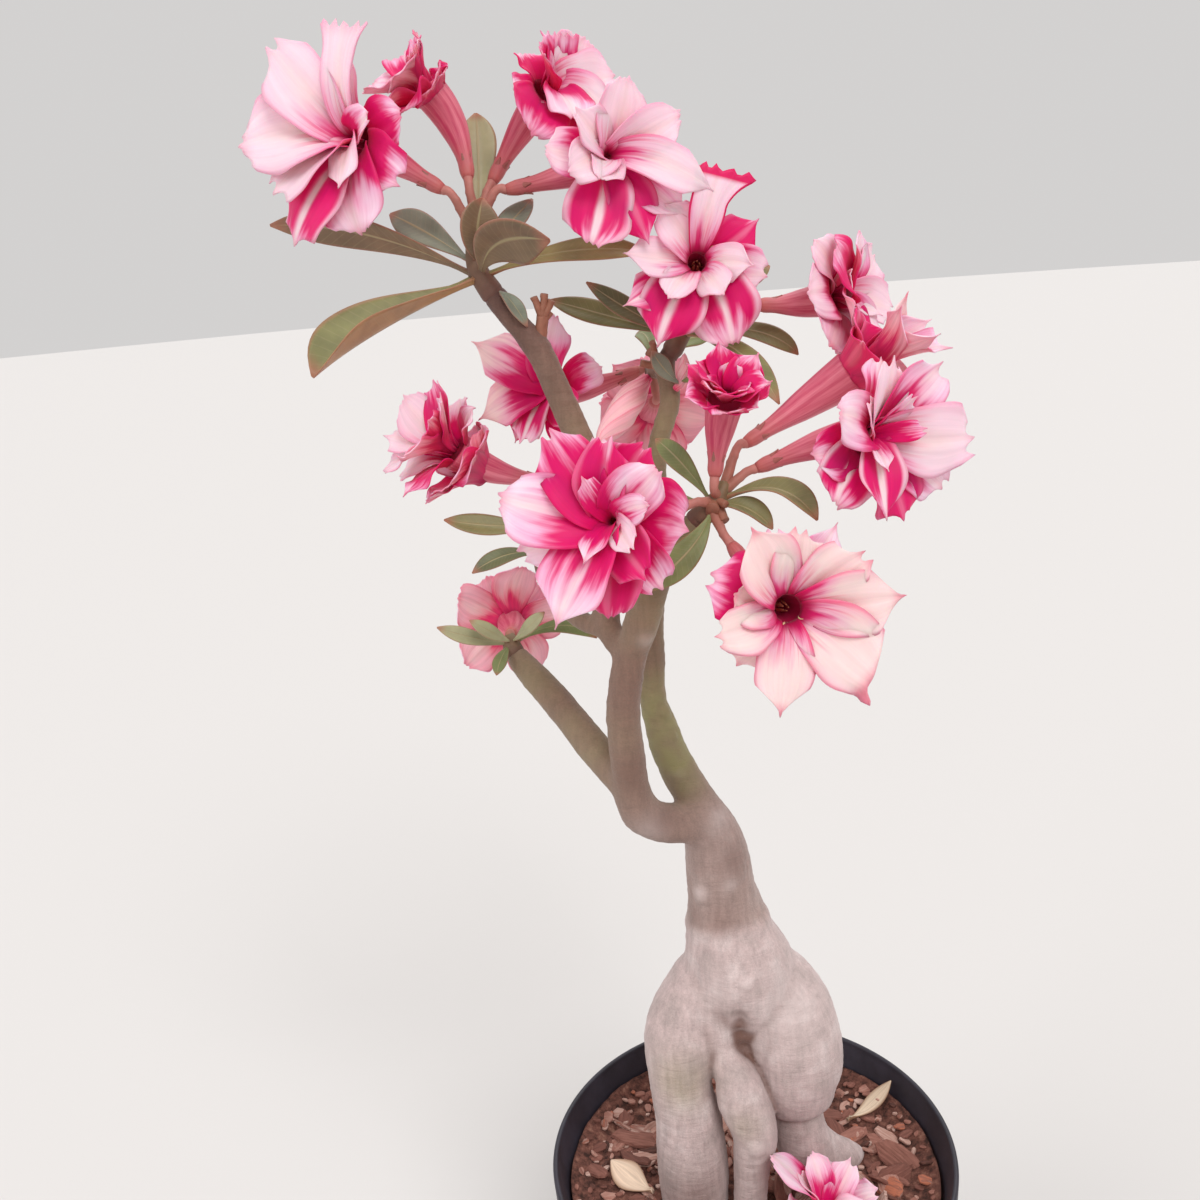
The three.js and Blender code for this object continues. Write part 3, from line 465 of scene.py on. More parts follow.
TOP_LEFT_BRANCH = [
    (-40, -15, 434, 6), (-49, -8, 441, 5.6), (-51, -1, 451, 5.7), (-54, 7, 471, 5.3),
    (-56, 16, 496, 5.7), (-58, 21, 518, 6.1), (-67, 23, 543, 5.8), (-73, 23, 560, 5.6),
    (-80, 23, 571, 5.2), (-91, 23, 586.5, 5.1),
]
LEFT_BACK_BRANCH = [
    (-52, -5, 443, 4.8), (-61, 3, 444, 4.4), (-74, 18, 450, 4.1), (-81, 32, 457, 4.2),
]
BACK_TWIG = [(-21, 38, 549, 4), (-26, 52, 546, 3.2), (-28, 66, 545.5, 2.9)]

# Each limb with the length of its round ends.
LIMBS = [
    (TRUNK, 0, 0), (LEFT_LEG, 5, 0), (MIDDLE_LEG, 2, 0), (RIGHT_BULGE, 6, 5), (RIGHT_ROOT, 0, 0),
    (FRONT_BRANCH, 0, 0), (BACK_BRANCH, 0, 0), (LOW_LEFT_BRANCH, 0, 0), (TOP_LEFT_BRANCH, 0, 0),
    (LEFT_BACK_BRANCH, 0, 0), (BACK_TWIG, 0, 0), (LEFT_FLANK, 0, 0), (RIGHT_FLANK, 0, 0),
    (CREASE, 0, 0),
]
LIMB_STEP = 3  # mm, between the rings of a limb
LIMB_SIDES = 28
LIMB_UNEVENNESS = 0.05  # of the radius
UNEVEN_SPOT = 16  # mm, across a swelling of a limb
SKIN_CELL = 1.25  # mm, between the points of the finished skin
ROUNDS_OF_EASING = 6
FORK_EASING = 40
YOUTH_EASING = 30
EASING_LOSS = 0.25  # mm, what easing takes off a limb, and gets back
CROTCH = 5  # mm, how far round a fork the wood flows together
FORKS_FROM = 240  # mm, the height where the flowing together begins
FORKS_BLEND = 30
# Painted shade down the creases: how far in a point lies where it is strongest, and how strong.
HOLLOW = 0.07  # mm, how far a point lies in, where a crease is at its brownest
CREASE_SHADE = 0.75
# Unevenness of the skin: mm high, and mm across along x, y and z.
UNEVEN_SKIN = [(0.4, (15, 15, 15)), (0.28, (9, 9, 3.2)), (0.16, (2.4, 2.4, 2.4))]

# Scars and swellings: x, y, z, radius, height; a negative height is a pit.
SCARS = [
    (1.4, -14.9, 269.6, 4.2, 1.5), (-16.9, -3.1, 309.3, 6, 1.2), (0.3, -2.1, 320.8, 6, 0.8),
    (-28.1, 16.6, 394.2, 4.5, 2.0), (-24, 13.1, 384, 4, 1.6), (-39.4, 21.5, 402.7, 4, 1.0),
    (-25.9, 7.5, 366.5, 4.5, 0.7), (-33.5, -23.2, 443.4, 3.5, 0.9), (-5.4, 5.1, 352.7, 6, 1.2),
    (2.2, -28.4, 187.7, 5, 1.2), (-2.5, -16, 258, 3.5, -1.2), (-2.5, -14.5, 252, 4, -2.8),
    (-2, -13, 247, 4, -3), (-1.5, -10, 240, 4, -2), (-1, -7, 230, 4, -2),
    (-33, -14.5, 250, 9, 0.8), (20, -13, 232, 14, 0.6), (-8, 23, 262, 8, 1), (30, 27, 225, 9, -1),
    (-44, 6, 214, 8, 1), (-14, 24, 214, 9, -1.5), (-20, 24, 351, 4, 1.1), (-47, 3, 389, 3, 0.9),
]
SCAR_MOAT = 0.35  # of a scar's height, the depth of the ring round it
# Colour patches: x, y, z, radius, strength. Brown ones in the creases are painted shade.
BROWN_PATCHES_AND_CREASE_SHADE = [
    (-0.8, -2.5, 327.4, 8, 0.5), (-19, 2, 297, 6, 0.4), (-9, -7, 298, 7, 0.4),
    (-46.4, -19.3, 380, 12, 0.6), (-40, -22, 420, 16, 0.3), (-2.5, -14, 252, 4, 0.7),
    (-2, -11, 245, 4.5, 1.2), (-1, -8, 237, 5.5, 1.4), (-1, -6, 228, 6, 1.4),
    (-29, -26, 160, 16, 0.6), (-10, -18, 175, 7, 0.4), (15, -18, 196, 7, 0.35),
    (22, -16, 185, 12, 0.55), (-30, -12, 354, 8, 0.5), (-10.4, -13, 250, 6, 0.4),
]
PALE_PATCHES = [
    (-17, -3, 311, 3.4, 0.8), (-4, -4, 316, 3.6, 0.6), (1.4, -15, 270, 3.4, 0.5),
    (25, -10, 250, 22, 0.5), (-12, -16, 266, 12, 0.3), (-38, -14, 350, 8, 0.35),
    (-33, -23, 443, 3.6, 0.55), (-26, 8, 369, 3.5, 0.6), (4, -28, 186, 7, 0.5),
    (-8, 2, 347, 6, 0.4),
]
GREEN_PATCHES = [
    (-30, 13, 376, 17, 1.4), (-32, 16, 392, 16, 1.3), (-24, 10, 362, 12, 0.7),
    (-31, -18, 219, 13, 0.55), (-34, 22, 404, 12, 0.8),
    (-48, -10, 400, 14, 0.35), (-62, 4, 384, 22, 0.5), (-90, 27, 410, 20, 0.45),
    (-31, 28, 460, 40, 0.55), (-26, 34, 520, 34, 0.7), (-56, 14, 490, 40, 0.6),
    (-30, -18, 462, 22, 0.55), (-14, -16, 486, 16, 0.9), (-3, -27, 200, 8, 0.3),
]
REDDISH_PATCHES = [
    (-91, 23, 587, 16, 1.2), (-80, 23, 571, 14, 0.8), (-68, 23, 546, 12, 0.3),
    (-17, 38, 556, 12, 0.8), (-10, -16, 491, 8, 0.6), (-28, 66, 545, 16, 0.6),
]
SKIN_GREY = "#b2a09c"
SKIN_ROSE = "#c3adaa"
SKIN_PALE = "#d3c2bf"
# Brown of the skin's patches and scars, also used as painted shade down the creases.
SKIN_BROWN_AND_CREASE_SHADE = "#6f5046"
SKIN_GREEN = "#948c62"
SKIN_RED = "#54352f"
YOUNG_BARK = "#87695b"
OLD_RADIUS = 19  # mm, wood this thick has the pale skin of age
YOUNG_RADIUS = 7  # mm, wood this thin has the brown skin of youth
YOUTH_FROM = 262  # mm, the height where the skin of youth can begin
YOUTH_BLEND = 60
GRAFT_HEIGHT = 290  # mm, where the top was grafted on the caudex and the skin changes
GRAFT_WAVE = 2.5  # mm, how far that line goes up and down
GRAFT_WAVE_LENGTH = 11  # mm
GRAFT_BLEND = 6  # mm, over which the one skin turns into the other
GRAFT_TONE = 0.6
GRAFT_SWELLING = 0.5
STRETCH_MARK = 2.6  # mm, between the fine upright lines of the swollen skin
MOTTLE = 15  # mm, across a blotch of the skin
WRINKLE = 2.2  # mm, between the fine wrinkles round a limb
PORE = 0.8  # mm, across a pore or a speck
# Settings that many nodes share.
MIX = {"data_type": "RGBA"}
TIMES = {"data_type": "RGBA", "blend_type": "MULTIPLY", "Factor": 1.0}


def smooth_path(stations, step):
    """Points on a smooth curve through the stations, about step apart; a station is a place
    and any further values, which change as smoothly."""
    given = np.asarray(stations, float)
    padded = np.vstack([2 * given[0] - given[1], given, 2 * given[-1] - given[-2]])
    rows = []
    for before, start, end, after in zip(padded, padded[1:], padded[2:], padded[3:]):
        count = max(1, round(float(np.linalg.norm((end - start)[:3])) / step))
        for i in range(count):
            t = i / count
            rows.append(0.5 * (2 * start + (end - before) * t
                               + (2 * before - 5 * start + 4 * end - after) * t ** 2
                               + (3 * start - before - 3 * end + after) * t ** 3))
    rows.append(given[-1])
    return np.array(rows)


def unit(vectors):
    vectors = np.asarray(vectors, float)
    return vectors / np.maximum(np.linalg.norm(vectors, axis=-1, keepdims=True), 1e-9)


def across_frames(centres):
    """For each point of a path its tangent and two directions across, without twist."""
    tangents = unit(np.gradient(centres, axis=0))
    side = np.array((0, 1, 0) if abs(tangents[0][0]) > 0.8 else (1, 0, 0), float)
    sides = []
    for tangent in tangents:
        side = unit(side - tangent * side.dot(tangent))
        sides.append(side)
    sides = np.array(sides)
    return tangents, sides, np.cross(tangents, sides)


def circles(first, second, angles):
    """Directions round a path, a row of them for each of its points."""
    return (np.cos(angles)[None, :, None] * first[:, None]
            + np.sin(angles)[None, :, None] * second[:, None])


def limb(stations, sides, step, start_dome=0.0, end_dome=0.0, unevenness=0.0):
    """Points and faces of a closed round limb, and its path with the radii."""
    path = smooth_path(stations, step)
    centres, radii = path[:, :3], path[:, 3]
    tangents, first, second = across_frames(centres)
    circle = circles(first, second, angles_round(sides))
    radius = np.repeat(radii[:, None], sides, axis=1)
    if unevenness:
        for row, centre in enumerate(centres):
            for column in range(sides):
                spot = Vector(centre / UNEVEN_SPOT) + Vector(circle[row, column])
                radius[row, column] *= 1 + unevenness * noise.noise(spot)
    rings = centres[:, None] + circle * radius[..., None]
    ends = (centres[0] - tangents[0] * start_dome, centres[-1] + tangents[-1] * end_dome)
    points = np.vstack([rings.reshape(-1, 3), *ends])
    return points, closed_faces(len(centres), sides), path


def eased(points, edges, rounds, weight):
    """Moves each point towards the middle of its neighbours, by its weight, round after round."""
    starts, ends = edges[:, 0], edges[:, 1]
    count = len(points)
    neighbours = np.bincount(np.concatenate([starts, ends]), minlength=count)[:, None]
    for _ in range(rounds):
        total = np.zeros_like(points)
        for axis in range(points.shape[1]):
            total[:, axis] = (np.bincount(starts, points[ends, axis], count)
                              + np.bincount(ends, points[starts, axis], count))
        points = points + weight * (total / np.maximum(neighbours, 1) - points)
    return points


def patches(points, places):
    """How strongly the coloured patches cover each point, from 0 to 1."""
    cover = np.zeros(len(points))
    for x, y, z, radius, strength in places:
        distance = np.linalg.norm(points - (x, y, z), axis=1) / radius
        cover = np.maximum(cover, strength * np.exp(-distance ** 2))
    return np.clip(cover, 0, 1)


def read(elements, name, width, kind=float):
    """A value of all points or edges of a mesh, a row for each."""
    values = np.zeros(len(elements) * width, kind)
    elements.foreach_get(name, values)
    return values.reshape(-1, width)


def living_bark():
    # Soft grey-beige skin with pinkish and greenish blotches, brown patches and scars, and a
    # faint waxy sheen. The brown down the creases is painted shade.
    look = new_look("living_bark")
    place = add(look, "TexCoord").outputs["Object"]
    finish = add(look, "Attribute", {"attribute_name": "finish"}).outputs
    stains_and_crease_shade = add(look, "SeparateColor", {"Color": finish["Color"]}).outputs
    youth = add(look, "Attribute", {"attribute_name": "place"}).outputs["Vector"]
    youth = add(look, "SeparateXYZ", {"Vector": youth}).outputs["X"]
    mottle = add(look, "TexNoise", {"Vector": place, "Scale": per_metre(MOTTLE),
                                    "Detail": 6, "Roughness": 0.55})
    specks = add(look, "TexNoise", {"Vector": place, "Scale": per_metre(PORE),
                                    "Detail": 5, "Roughness": 0.75})
    upright = add(look, "Mapping", {"Vector": place, "Scale": (1, 1, 0.12)})
    marks = add(look, "TexNoise", {"Vector": upright, "Scale": per_metre(STRETCH_MARK),
                                   "Detail": 4, "Roughness": 0.6})
    flattened = add(look, "Mapping", {"Vector": place, "Scale": (0.22, 0.22, 1)})
    wrinkles = add(look, "TexNoise", {"Vector": flattened, "Scale": per_metre(WRINKLE),
                                      "Detail": 5, "Roughness": 0.6})
    colour = add(look, "ValToRGB", {"Fac": mottle, "stops": [
        (0.3, SKIN_GREY), (0.5, SKIN_ROSE), (0.72, SKIN_PALE)]})
    colour = add(look, "Mix", {**MIX, "Factor": youth, 6: colour, 7: YOUNG_BARK})
    speckled = add(look, "Math", {"operation": "ADD", 0: specks, 1: marks})
    level = add(look, "MapRange", {"Value": speckled, "span": (0.75, 1.25, 0.76, 1.1)})
    colour = add(look, "Mix", {**TIMES, 6: colour, 7: level})
    blotch = add(look, "MapRange", {"Value": mottle, "span": (0.3, 0.6, 0.45, 1)})
    # The red share is the brown patches together with the painted shade down the creases.
    for share, tint in ((stains_and_crease_shade["Blue"], SKIN_PALE), (stains_and_crease_shade["Green"], SKIN_GREEN),
                        (finish["Alpha"], SKIN_RED), (stains_and_crease_shade["Red"], SKIN_BROWN_AND_CREASE_SHADE)):
        uneven = add(look, "Math", {"operation": "MULTIPLY", 0: share, 1: blotch})
        colour = add(look, "Mix", {**MIX, "Factor": uneven, 6: colour, 7: tint})
    relief = add(look, "Bump", {"Height": wrinkles, "Strength": 0.75, "Distance": 0.0008})
    pores = add(look, "Bump", {"Height": specks, "Strength": 0.5, "Distance": 0.0004,
                               "Normal": relief})
    return surfaced(look, {"Base Color": colour, "Roughness": 0.62, "Specular IOR Level": 0.35,
                           "Sheen Weight": 0.15, "Normal": pores})


wood = Draft()
limb_paths = []
for stations, start_dome, end_dome in LIMBS:
    points, faces, path = limb(stations, LIMB_SIDES, LIMB_STEP, start_dome, end_dome,
                               LIMB_UNEVENNESS)
    wood.join(points, faces)
    limb_paths.append(path)
wood = finished_piece(wood, "caudex_and_branches.wood", [], ["caudex_and_branches"])
skin = wood.modifiers.new("one_skin", "REMESH")
skin.mode = "VOXEL"
skin.voxel_size = SKIN_CELL * MM
settle(wood)

mesh = wood.data
points = read(mesh.vertices, "co", 3) / MM
edges = read(mesh.edges, "vertices", 2, int)
# How far each point lies outside each limb; where two are about the same, there is a fork.
depths = np.array([
    np.min([np.linalg.norm(points - row[:3], axis=1) - row[3] for row in path], axis=0)
    for path in limb_paths
])
nearest = np.argmin(depths, axis=0)
thickness = np.zeros(len(points))
for index, path in enumerate(limb_paths):
    own = points[nearest == index]
    rows = [np.linalg.norm(own - row[:3], axis=1) for row in path]
    thickness[nearest == index] = path[np.argmin(rows, axis=0), 3]
youth = (np.clip((OLD_RADIUS - thickness) / (OLD_RADIUS - YOUNG_RADIUS), 0, 1)
         * np.clip((points[:, 2] - YOUTH_FROM) / YOUTH_BLEND, 0, 1))
depths.sort(axis=0)
fork = (np.exp(-((depths[1] - depths[0]) / CROTCH) ** 2)
        * np.clip((points[:, 2] - FORKS_FROM) / FORKS_BLEND, 0, 1))
points = eased(points, edges, ROUNDS_OF_EASING, 0.5)
points = eased(points, edges, FORK_EASING, 0.5 * fork[:, None])
youth = eased(youth[:, None], edges, YOUTH_EASING, 0.6)[:, 0]
above_graft = points[:, 2] - GRAFT_HEIGHT - GRAFT_WAVE * np.cos(points[:, 0] / GRAFT_WAVE_LENGTH)
youth = np.maximum(youth, GRAFT_TONE * np.clip(above_graft / GRAFT_BLEND + 0.3, 0, 1))
mesh.vertices.foreach_set("co", (points * MM).ravel())
mesh.update()
normals = read(mesh.vertices, "normal", 3)

# How far each point lies in, for the painted shade down the creases.
neighbour_pull = eased(points, edges, 1, 1.0) - points
hollow = np.sum(neighbour_pull * normals, axis=1)[:, None]
hollow = np.clip(eased(hollow, edges, 3, 0.7)[:, 0] / HOLLOW, 0, 1)

relief = EASING_LOSS + GRAFT_SWELLING * np.exp(-(above_graft / 2) ** 2)
for x, y, z, radius, height in SCARS:
    distance = np.linalg.norm(points - (x, y, z), axis=1) / radius
    relief += height * np.exp(-distance ** 2 * 1.5)
    if height > 0:
        relief -= SCAR_MOAT * height * np.exp(-((distance - 1.05) / 0.22) ** 2)
for height, size in UNEVEN_SKIN:
    relief += height * np.array([noise.noise(Vector(spot)) for spot in points / size])
points += normals * relief[:, None]
mesh.vertices.foreach_set("co", (points * MM).ravel())
# Red: brown patches and painted crease shade; then the green, pale and reddish patches.
store(mesh, np.column_stack([youth, youth * 0, youth * 0]), np.column_stack([
    np.clip(patches(points, BROWN_PATCHES_AND_CREASE_SHADE) + CREASE_SHADE * hollow, 0, 1),
    patches(points, GREEN_PATCHES), patches(points, PALE_PATCHES),
    patches(points, REDDISH_PATCHES)]))
mesh.shade_smooth()
mesh.materials.clear()
mesh.materials.append(living_bark())

# ------------------------------------------------------------------ leafy tips
# Each branch ends in a soft young shoot: a short knobbly stem, stalks that carry the blooms,
# and thick, smooth, spoon-shaped leaves, folded along the midrib and paler below.

BLOOM_SEATS = {  # base of the tube, middle of the throat, the way the bloom looks
    "bloom_top_left": ((-108, 24, 630), (-139, 8, 652), (-0.33, -0.91, 0.27)),
    "bloom_top_left_side": ((-98, 30, 634), (-113, 36, 671), (-0.6, -0.35, 0.72)),
    "bloom_top_middle": ((-82, 28, 628), (-37, 13, 637), (0.4, -0.9, 0.2)),
    "bloom_top_middle_side": ((-89, 36, 632), (-61, 40, 667), (0.66, -0.59, 0.47)),
    "bloom_centre": ((-4, 40, 575), (-4, 21, 593), (0.05, -0.97, 0.24)),
    "bloom_right_upper": ((21, 34, 573), (56, 36, 574), (0.87, -0.46, 0.2)),
    "bloom_right_tulip": ((12, -4, 520), (60, 9, 546), (0.79, -0.29, 0.53)),
    "bloom_right_lower": ((16, -12, 511), (59, -27, 524), (0.59, -0.8, 0.13)),
    "bloom_half_open": ((-1, -20, 510), (5, -24, 543), (0.21, -0.57, 0.79)),
    "bloom_front": ((-13, -25, 500), (-41, -49, 501), (-0.23, -0.93, 0.3)),
    "bloom_low_right": ((4, -28, 484), (24, -61, 466), (0.22, -0.96, 0.18)),
    "bloom_left": ((-81, 58, 498), (-123, 49, 518), (-0.62, -0.36, 0.69)),
    "bloom_back_left": ((-34, 75, 545), (-74, 58, 541), (-0.36, -0.89, 0.29)),
    "bloom_low_left": ((-103, 44, 427), (-108, 70, 424), (-0.38, 0.92, 0.06)),
    "bloom_back": ((-27, 70, 531), (-30, 94, 524), (-0.1, 0.99, -0.14)),
}
FRONT_UP = (0, -0.8, 0.6)  # where the upper side of most leaves looks
# Colours of a leaf: upper side, underside.
LEAF_COLOURS = {
    "brown": ("#7a6349", "#86655a"),
    "tan": ("#7f7c4c", "#ab8559"),
    "khaki": ("#8f7f4f", "#a08257"),
    "olive": ("#7f7b4e", "#8f7d58"),
    "dark": ("#646846", "#776d51"),
    "grey": ("#7f8674", "#88806a"),
    "fresh": ("#78824e", "#8f875f"),
    "young": ("#a8a680", "#aea084"),
    "dry": ("#d9c4ac", "#c8ac90"),
    "spent": ("#dec5ae", "#ccb09c"),
}
# Each leaf: base, halfway, tip, width, upper side looks to, fold, colours.
LEAFY_TIPS = {
    "leafy_tip_top_left": (
        TOP_LEFT_BRANCH, [(-97, 23.5, 598, 4.3), (-97, 26, 611, 3.4), (-95, 29, 619, 2.4)],
        [((-97, 26, 611), "bloom_top_left"), ((-96, 28, 616), "bloom_top_left_side"),
         ((-95, 29, 617), "bloom_top_middle_side"), ((-96, 27, 612), "bloom_top_middle")],
        [((-97, 23, 594), (-146, 40, 615), (-193, 48, 623), 15, (0.2, -0.9, -0.3), 0.3, "brown"),
         ((-97, 22, 593), (-134, -2, 577), (-158, -26, 561), 25, (0.12, -0.1, 1), 1.05, "tan"),
         ((-95, 22, 594), (-84, 8, 607), (-61, -6, 606), 24, (-0.1, -0.8, -0.6), 0.35, "brown"),
         ((-97, 23, 600), (-94, 14, 611), (-90, 15, 625), 17, (0.6, -1, 0.1), 0.55, "brown"),
         ((-95, 25, 603), (-84, 31, 613), (-73, 41, 624), 12, FRONT_UP, 0.3, "grey"),
         ((-89, 22, 587), (-83, 17, 583), (-77, 18, 572), 7, (0.5, -0.8, 0.4), 0.5, "grey"),
         ((-94, 23, 594), (-58, 17, 601), (-23, 14, 598), 12, (0.1, -0.7, 0.6), 0.3, "khaki"),
         ((-98, 25, 599), (-119, 37, 613), (-137, 44, 623), 15, FRONT_UP, 0.3, "grey"),
         ((-96, 28, 610), (-95, 42, 641), (-95, 47, 661), 16, (0.2, -1, 0.1), 0.3, "young")],
    ),
    "leafy_tip_top_middle": (
        BACK_BRANCH, [(-12, 39.5, 563, 3.9), (-8, 40, 568, 3)],
        [((-9, 40, 567), "bloom_centre"), ((-10, 40, 565), "bloom_right_upper")],
        [((-13, 38, 562), (-32, 36, 573), (-52, 34, 588), 10, FRONT_UP, 0.3, "dark"),
         ((-14, 40, 562), (-44, 46, 572), (-71, 52, 581), 12, FRONT_UP, 0.3, "olive"),
         ((-11, 37, 563), (11, 22, 555), (27, 5, 534), 11, FRONT_UP, 0.3, "tan"),
         ((-10, 40, 564), (20, 45, 561), (38, 42, 550), 10, FRONT_UP, 0.3, "olive"),
         ((-11, 41, 564), (13, 54, 580), (28, 61, 588), 10, FRONT_UP, 0.3, "olive")],
    ),
    "leafy_tip_right": (
        FRONT_BRANCH, [(-4, -17, 496, 4.4), (0, -17, 501, 3.6), (3, -15, 506, 2.6)],
        [((0, -17, 501), "bloom_half_open"), ((2, -15, 503), "bloom_right_tulip"),
         ((2, -16, 503), "bloom_right_lower"), ((-2, -17, 499), "bloom_front"),
         ((-3, -18, 496), "bloom_low_right")],
        [((1, -17, 500), (23, -24, 504), (38, -34, 493), 12, (0.1, -0.5, 0.9), 0.7, "olive"),
         ((-2, -18, 497), (10, -22, 497), (21, -24, 488), 11, (0.1, -0.5, 0.9), 0.6, "olive"),
         ((-3, -19, 497), (-13, -28, 482), (-33, -34, 468), 13, (0.3, -0.8, 0.5), 0.3, "fresh"),
         ((-3, -16, 499), (-14, -5, 513), (-25, 4, 523), 10, FRONT_UP, 0.3, "fresh"),
         ((-5, -15, 498), (-26, -4, 505), (-41, 2, 518), 8, FRONT_UP, 0.3, "fresh")],
    ),
    "leafy_tip_left": (
        LEFT_BACK_BRANCH, [(-84, 43, 467, 4.3), (-83, 52, 479, 3.9), (-81, 56, 489, 3)],
        [((-82, 55, 486), "bloom_left")],
        [((-84, 42, 466), (-101, 44, 466), (-117, 37, 460), 9, FRONT_UP, 0.3, "dark"),
         ((-83, 51, 478), (-105, 46, 480), (-128, 39, 486), 11, FRONT_UP, 0.3, "olive"),
         ((-82, 53, 481), (-66, 68, 488), (-54, 80, 484), 10, FRONT_UP, 0.3, "olive")],
    ),
    "leafy_tip_back": (
        BACK_TWIG, [(-28, 73, 547, 2.6)],
        [((-28, 71, 546.5), "bloom_back_left"), ((-28, 72, 546), "bloom_back")],
        [((-28, 71, 547), (-14, 82, 556), (0, 90, 556), 10, FRONT_UP, 0.3, "fresh"),
         ((-28, 72, 547), (-30, 88, 558), (-36, 103, 560), 9, FRONT_UP, 0.3, "fresh")],
    ),
    "leafy_tip_low_left": (
        LOW_LEFT_BRANCH, [(-102, 37, 425, 4), (-103, 39.5, 427, 2.8)],
        [((-102.5, 38, 426), "bloom_low_left")],
        [((-102, 36, 424), (-118, 30, 430), (-134, 25, 438), 8, FRONT_UP, 0.3, "young"),
         ((-101, 37, 424), (-78, 37, 432), (-60, 31, 427), 8, FRONT_UP, 0.3, "fresh"),
         ((-102, 36, 425), (-108, 27, 433), (-118, 24, 441), 7, FRONT_UP, 0.3, "young"),
         ((-101, 36, 425), (-92, 29, 434), (-83, 28, 442), 7, FRONT_UP, 0.3, "young"),
         ((-102, 35.5, 424), (-105, 26, 421), (-107, 19, 415), 7, FRONT_UP, 0.3, "fresh")],
    ),
}
LEAF_ROWS = 26
LEAF_COLUMNS = 13
LEAF_EDGE = 0.5  # mm thick at the edge
MIDRIB = 1.5  # mm, how much thicker a leaf is along its midrib, near the base
LEAF_FOOT = 1.4  # mm, how much thicker it is where it leaves the stem
LEAF_NARROWEST = 0.14  # of its width
LEAF_TIP = 0.035  # of its width
LEAF_WAVE = 0.09  # of its half width, how far the edge goes up and down
LEAF_CUP = 0.12  # of its half width, how far the edge bends back down
STALK_RADIUS = 1.8
STALK_STRAIGHT = 5
STALK_SIDES = 14
SEAT = -0.6  # mm, from a stalk's end to its tube; below nought it goes in
STEM_FOOT = 3  # mm, how far the young stem is rooted in the wood
STEM_SIDES = 20
STUB_SIDES = 12
# Scars of fallen leaves and flowers: mm from one to the next, and mm high.
STEM_SCARS = (3.4, 0.7)
STALK_SCARS = (3.1, 0.35)
STUB_SCARS = (2.3, 0.4)
SCAR_TURN = 2.4  # radians round the stem, from one scar to the next
# What is left of old flower stalks: foot, end and radius of each stub.
OLD_STUBS = {
    "leafy_tip_top_left": [
        ((-73, 24, 562), (-71, 23, 576), 2.5), ((-71, 23, 575), (-73.5, 21, 584), 1.4),
        ((-71, 23, 575), (-69, 22, 585), 1.5), ((-71, 23, 574), (-66, 22, 582), 1.3),
        ((-71, 24, 573), (-67, 25, 577), 1.2)],
    "leafy_tip_top_middle": [
        ((-21, 38, 551), (-27, 34, 557), 1.8), ((-21, 38, 549), (-31, 36, 552), 1.5),
        ((-24, 36, 553), (-25, 31, 561), 1.3)],
    "leafy_tip_right": [
        ((-2, -16, 499), (-2.8, -22.5, 497), 2.9), ((0, -18, 497), (2, -22.5, 492), 2),
        ((-1, -18, 500), (3, -23, 499), 1.5)],
}
STUB_CUT = 0.35  # of its radius, how far the end of a stub is hollow
STUB_BROWN = "#9d6853"
STEM_REDDISH = "#6a473f"
STEM_GREEN = "#7f6a4c"
STALK_PINK = "#c27f77"
LEAF_VEIN = "#a99c74"
LEAF_BLUSH = "#ab6a55"
VEIN_SPACING = 0.055  # of the leaf's length, between two side veins
STEM_BLOTCH = 3  # mm, across a darker spot of the shoot skin
LEAF_CLOUD = 12  # mm, across a lighter or darker part of a leaf
SMOOTH = {"interpolation_type": "SMOOTHSTEP"}


def thin_sheet(grid, thickness):
    """A closed sheet round a grid of points. Thickness is one number, or one for each point.
    Gives its points, with the front first, its faces, and how many of them the front has."""
    rows, columns = grid.shape[:2]
    normals = unit(np.cross(np.gradient(grid, axis=1), np.gradient(grid, axis=0)))
    offset = normals * np.broadcast_to(np.asarray(thickness) / 2, (rows, columns))[..., None]
    count = rows * columns
    front = grid_faces(rows, columns)
    back = [tuple(index + count for index in reversed(face)) for face in front]
    order = np.arange(count).reshape(rows, columns)
    edge = [*order[0], *order[1:, -1], *order[-1, -2::-1], *order[-2:0:-1, 0]]
    rim = [(a, a + count, b + count, b) for a, b in zip(edge, edge[1:] + edge[:1])]
    points = np.vstack([(grid + offset).reshape(-1, 3), (grid - offset).reshape(-1, 3)])
    return points, front + back + rim, len(front)


def bow(start, control, end, share):
    """Points of the curve that leaves its start and meets its end in line with the control."""
    return (1 - share) ** 2 * start + 2 * share * (1 - share) * control + share ** 2 * end


def place_on(across, share, own):
    """The place of each point of a grid: across it, along it, and a number of its own."""
    across, share = np.broadcast_arrays(across, share)
    return np.column_stack([across.ravel(), share.ravel(), np.full(share.size, own)])


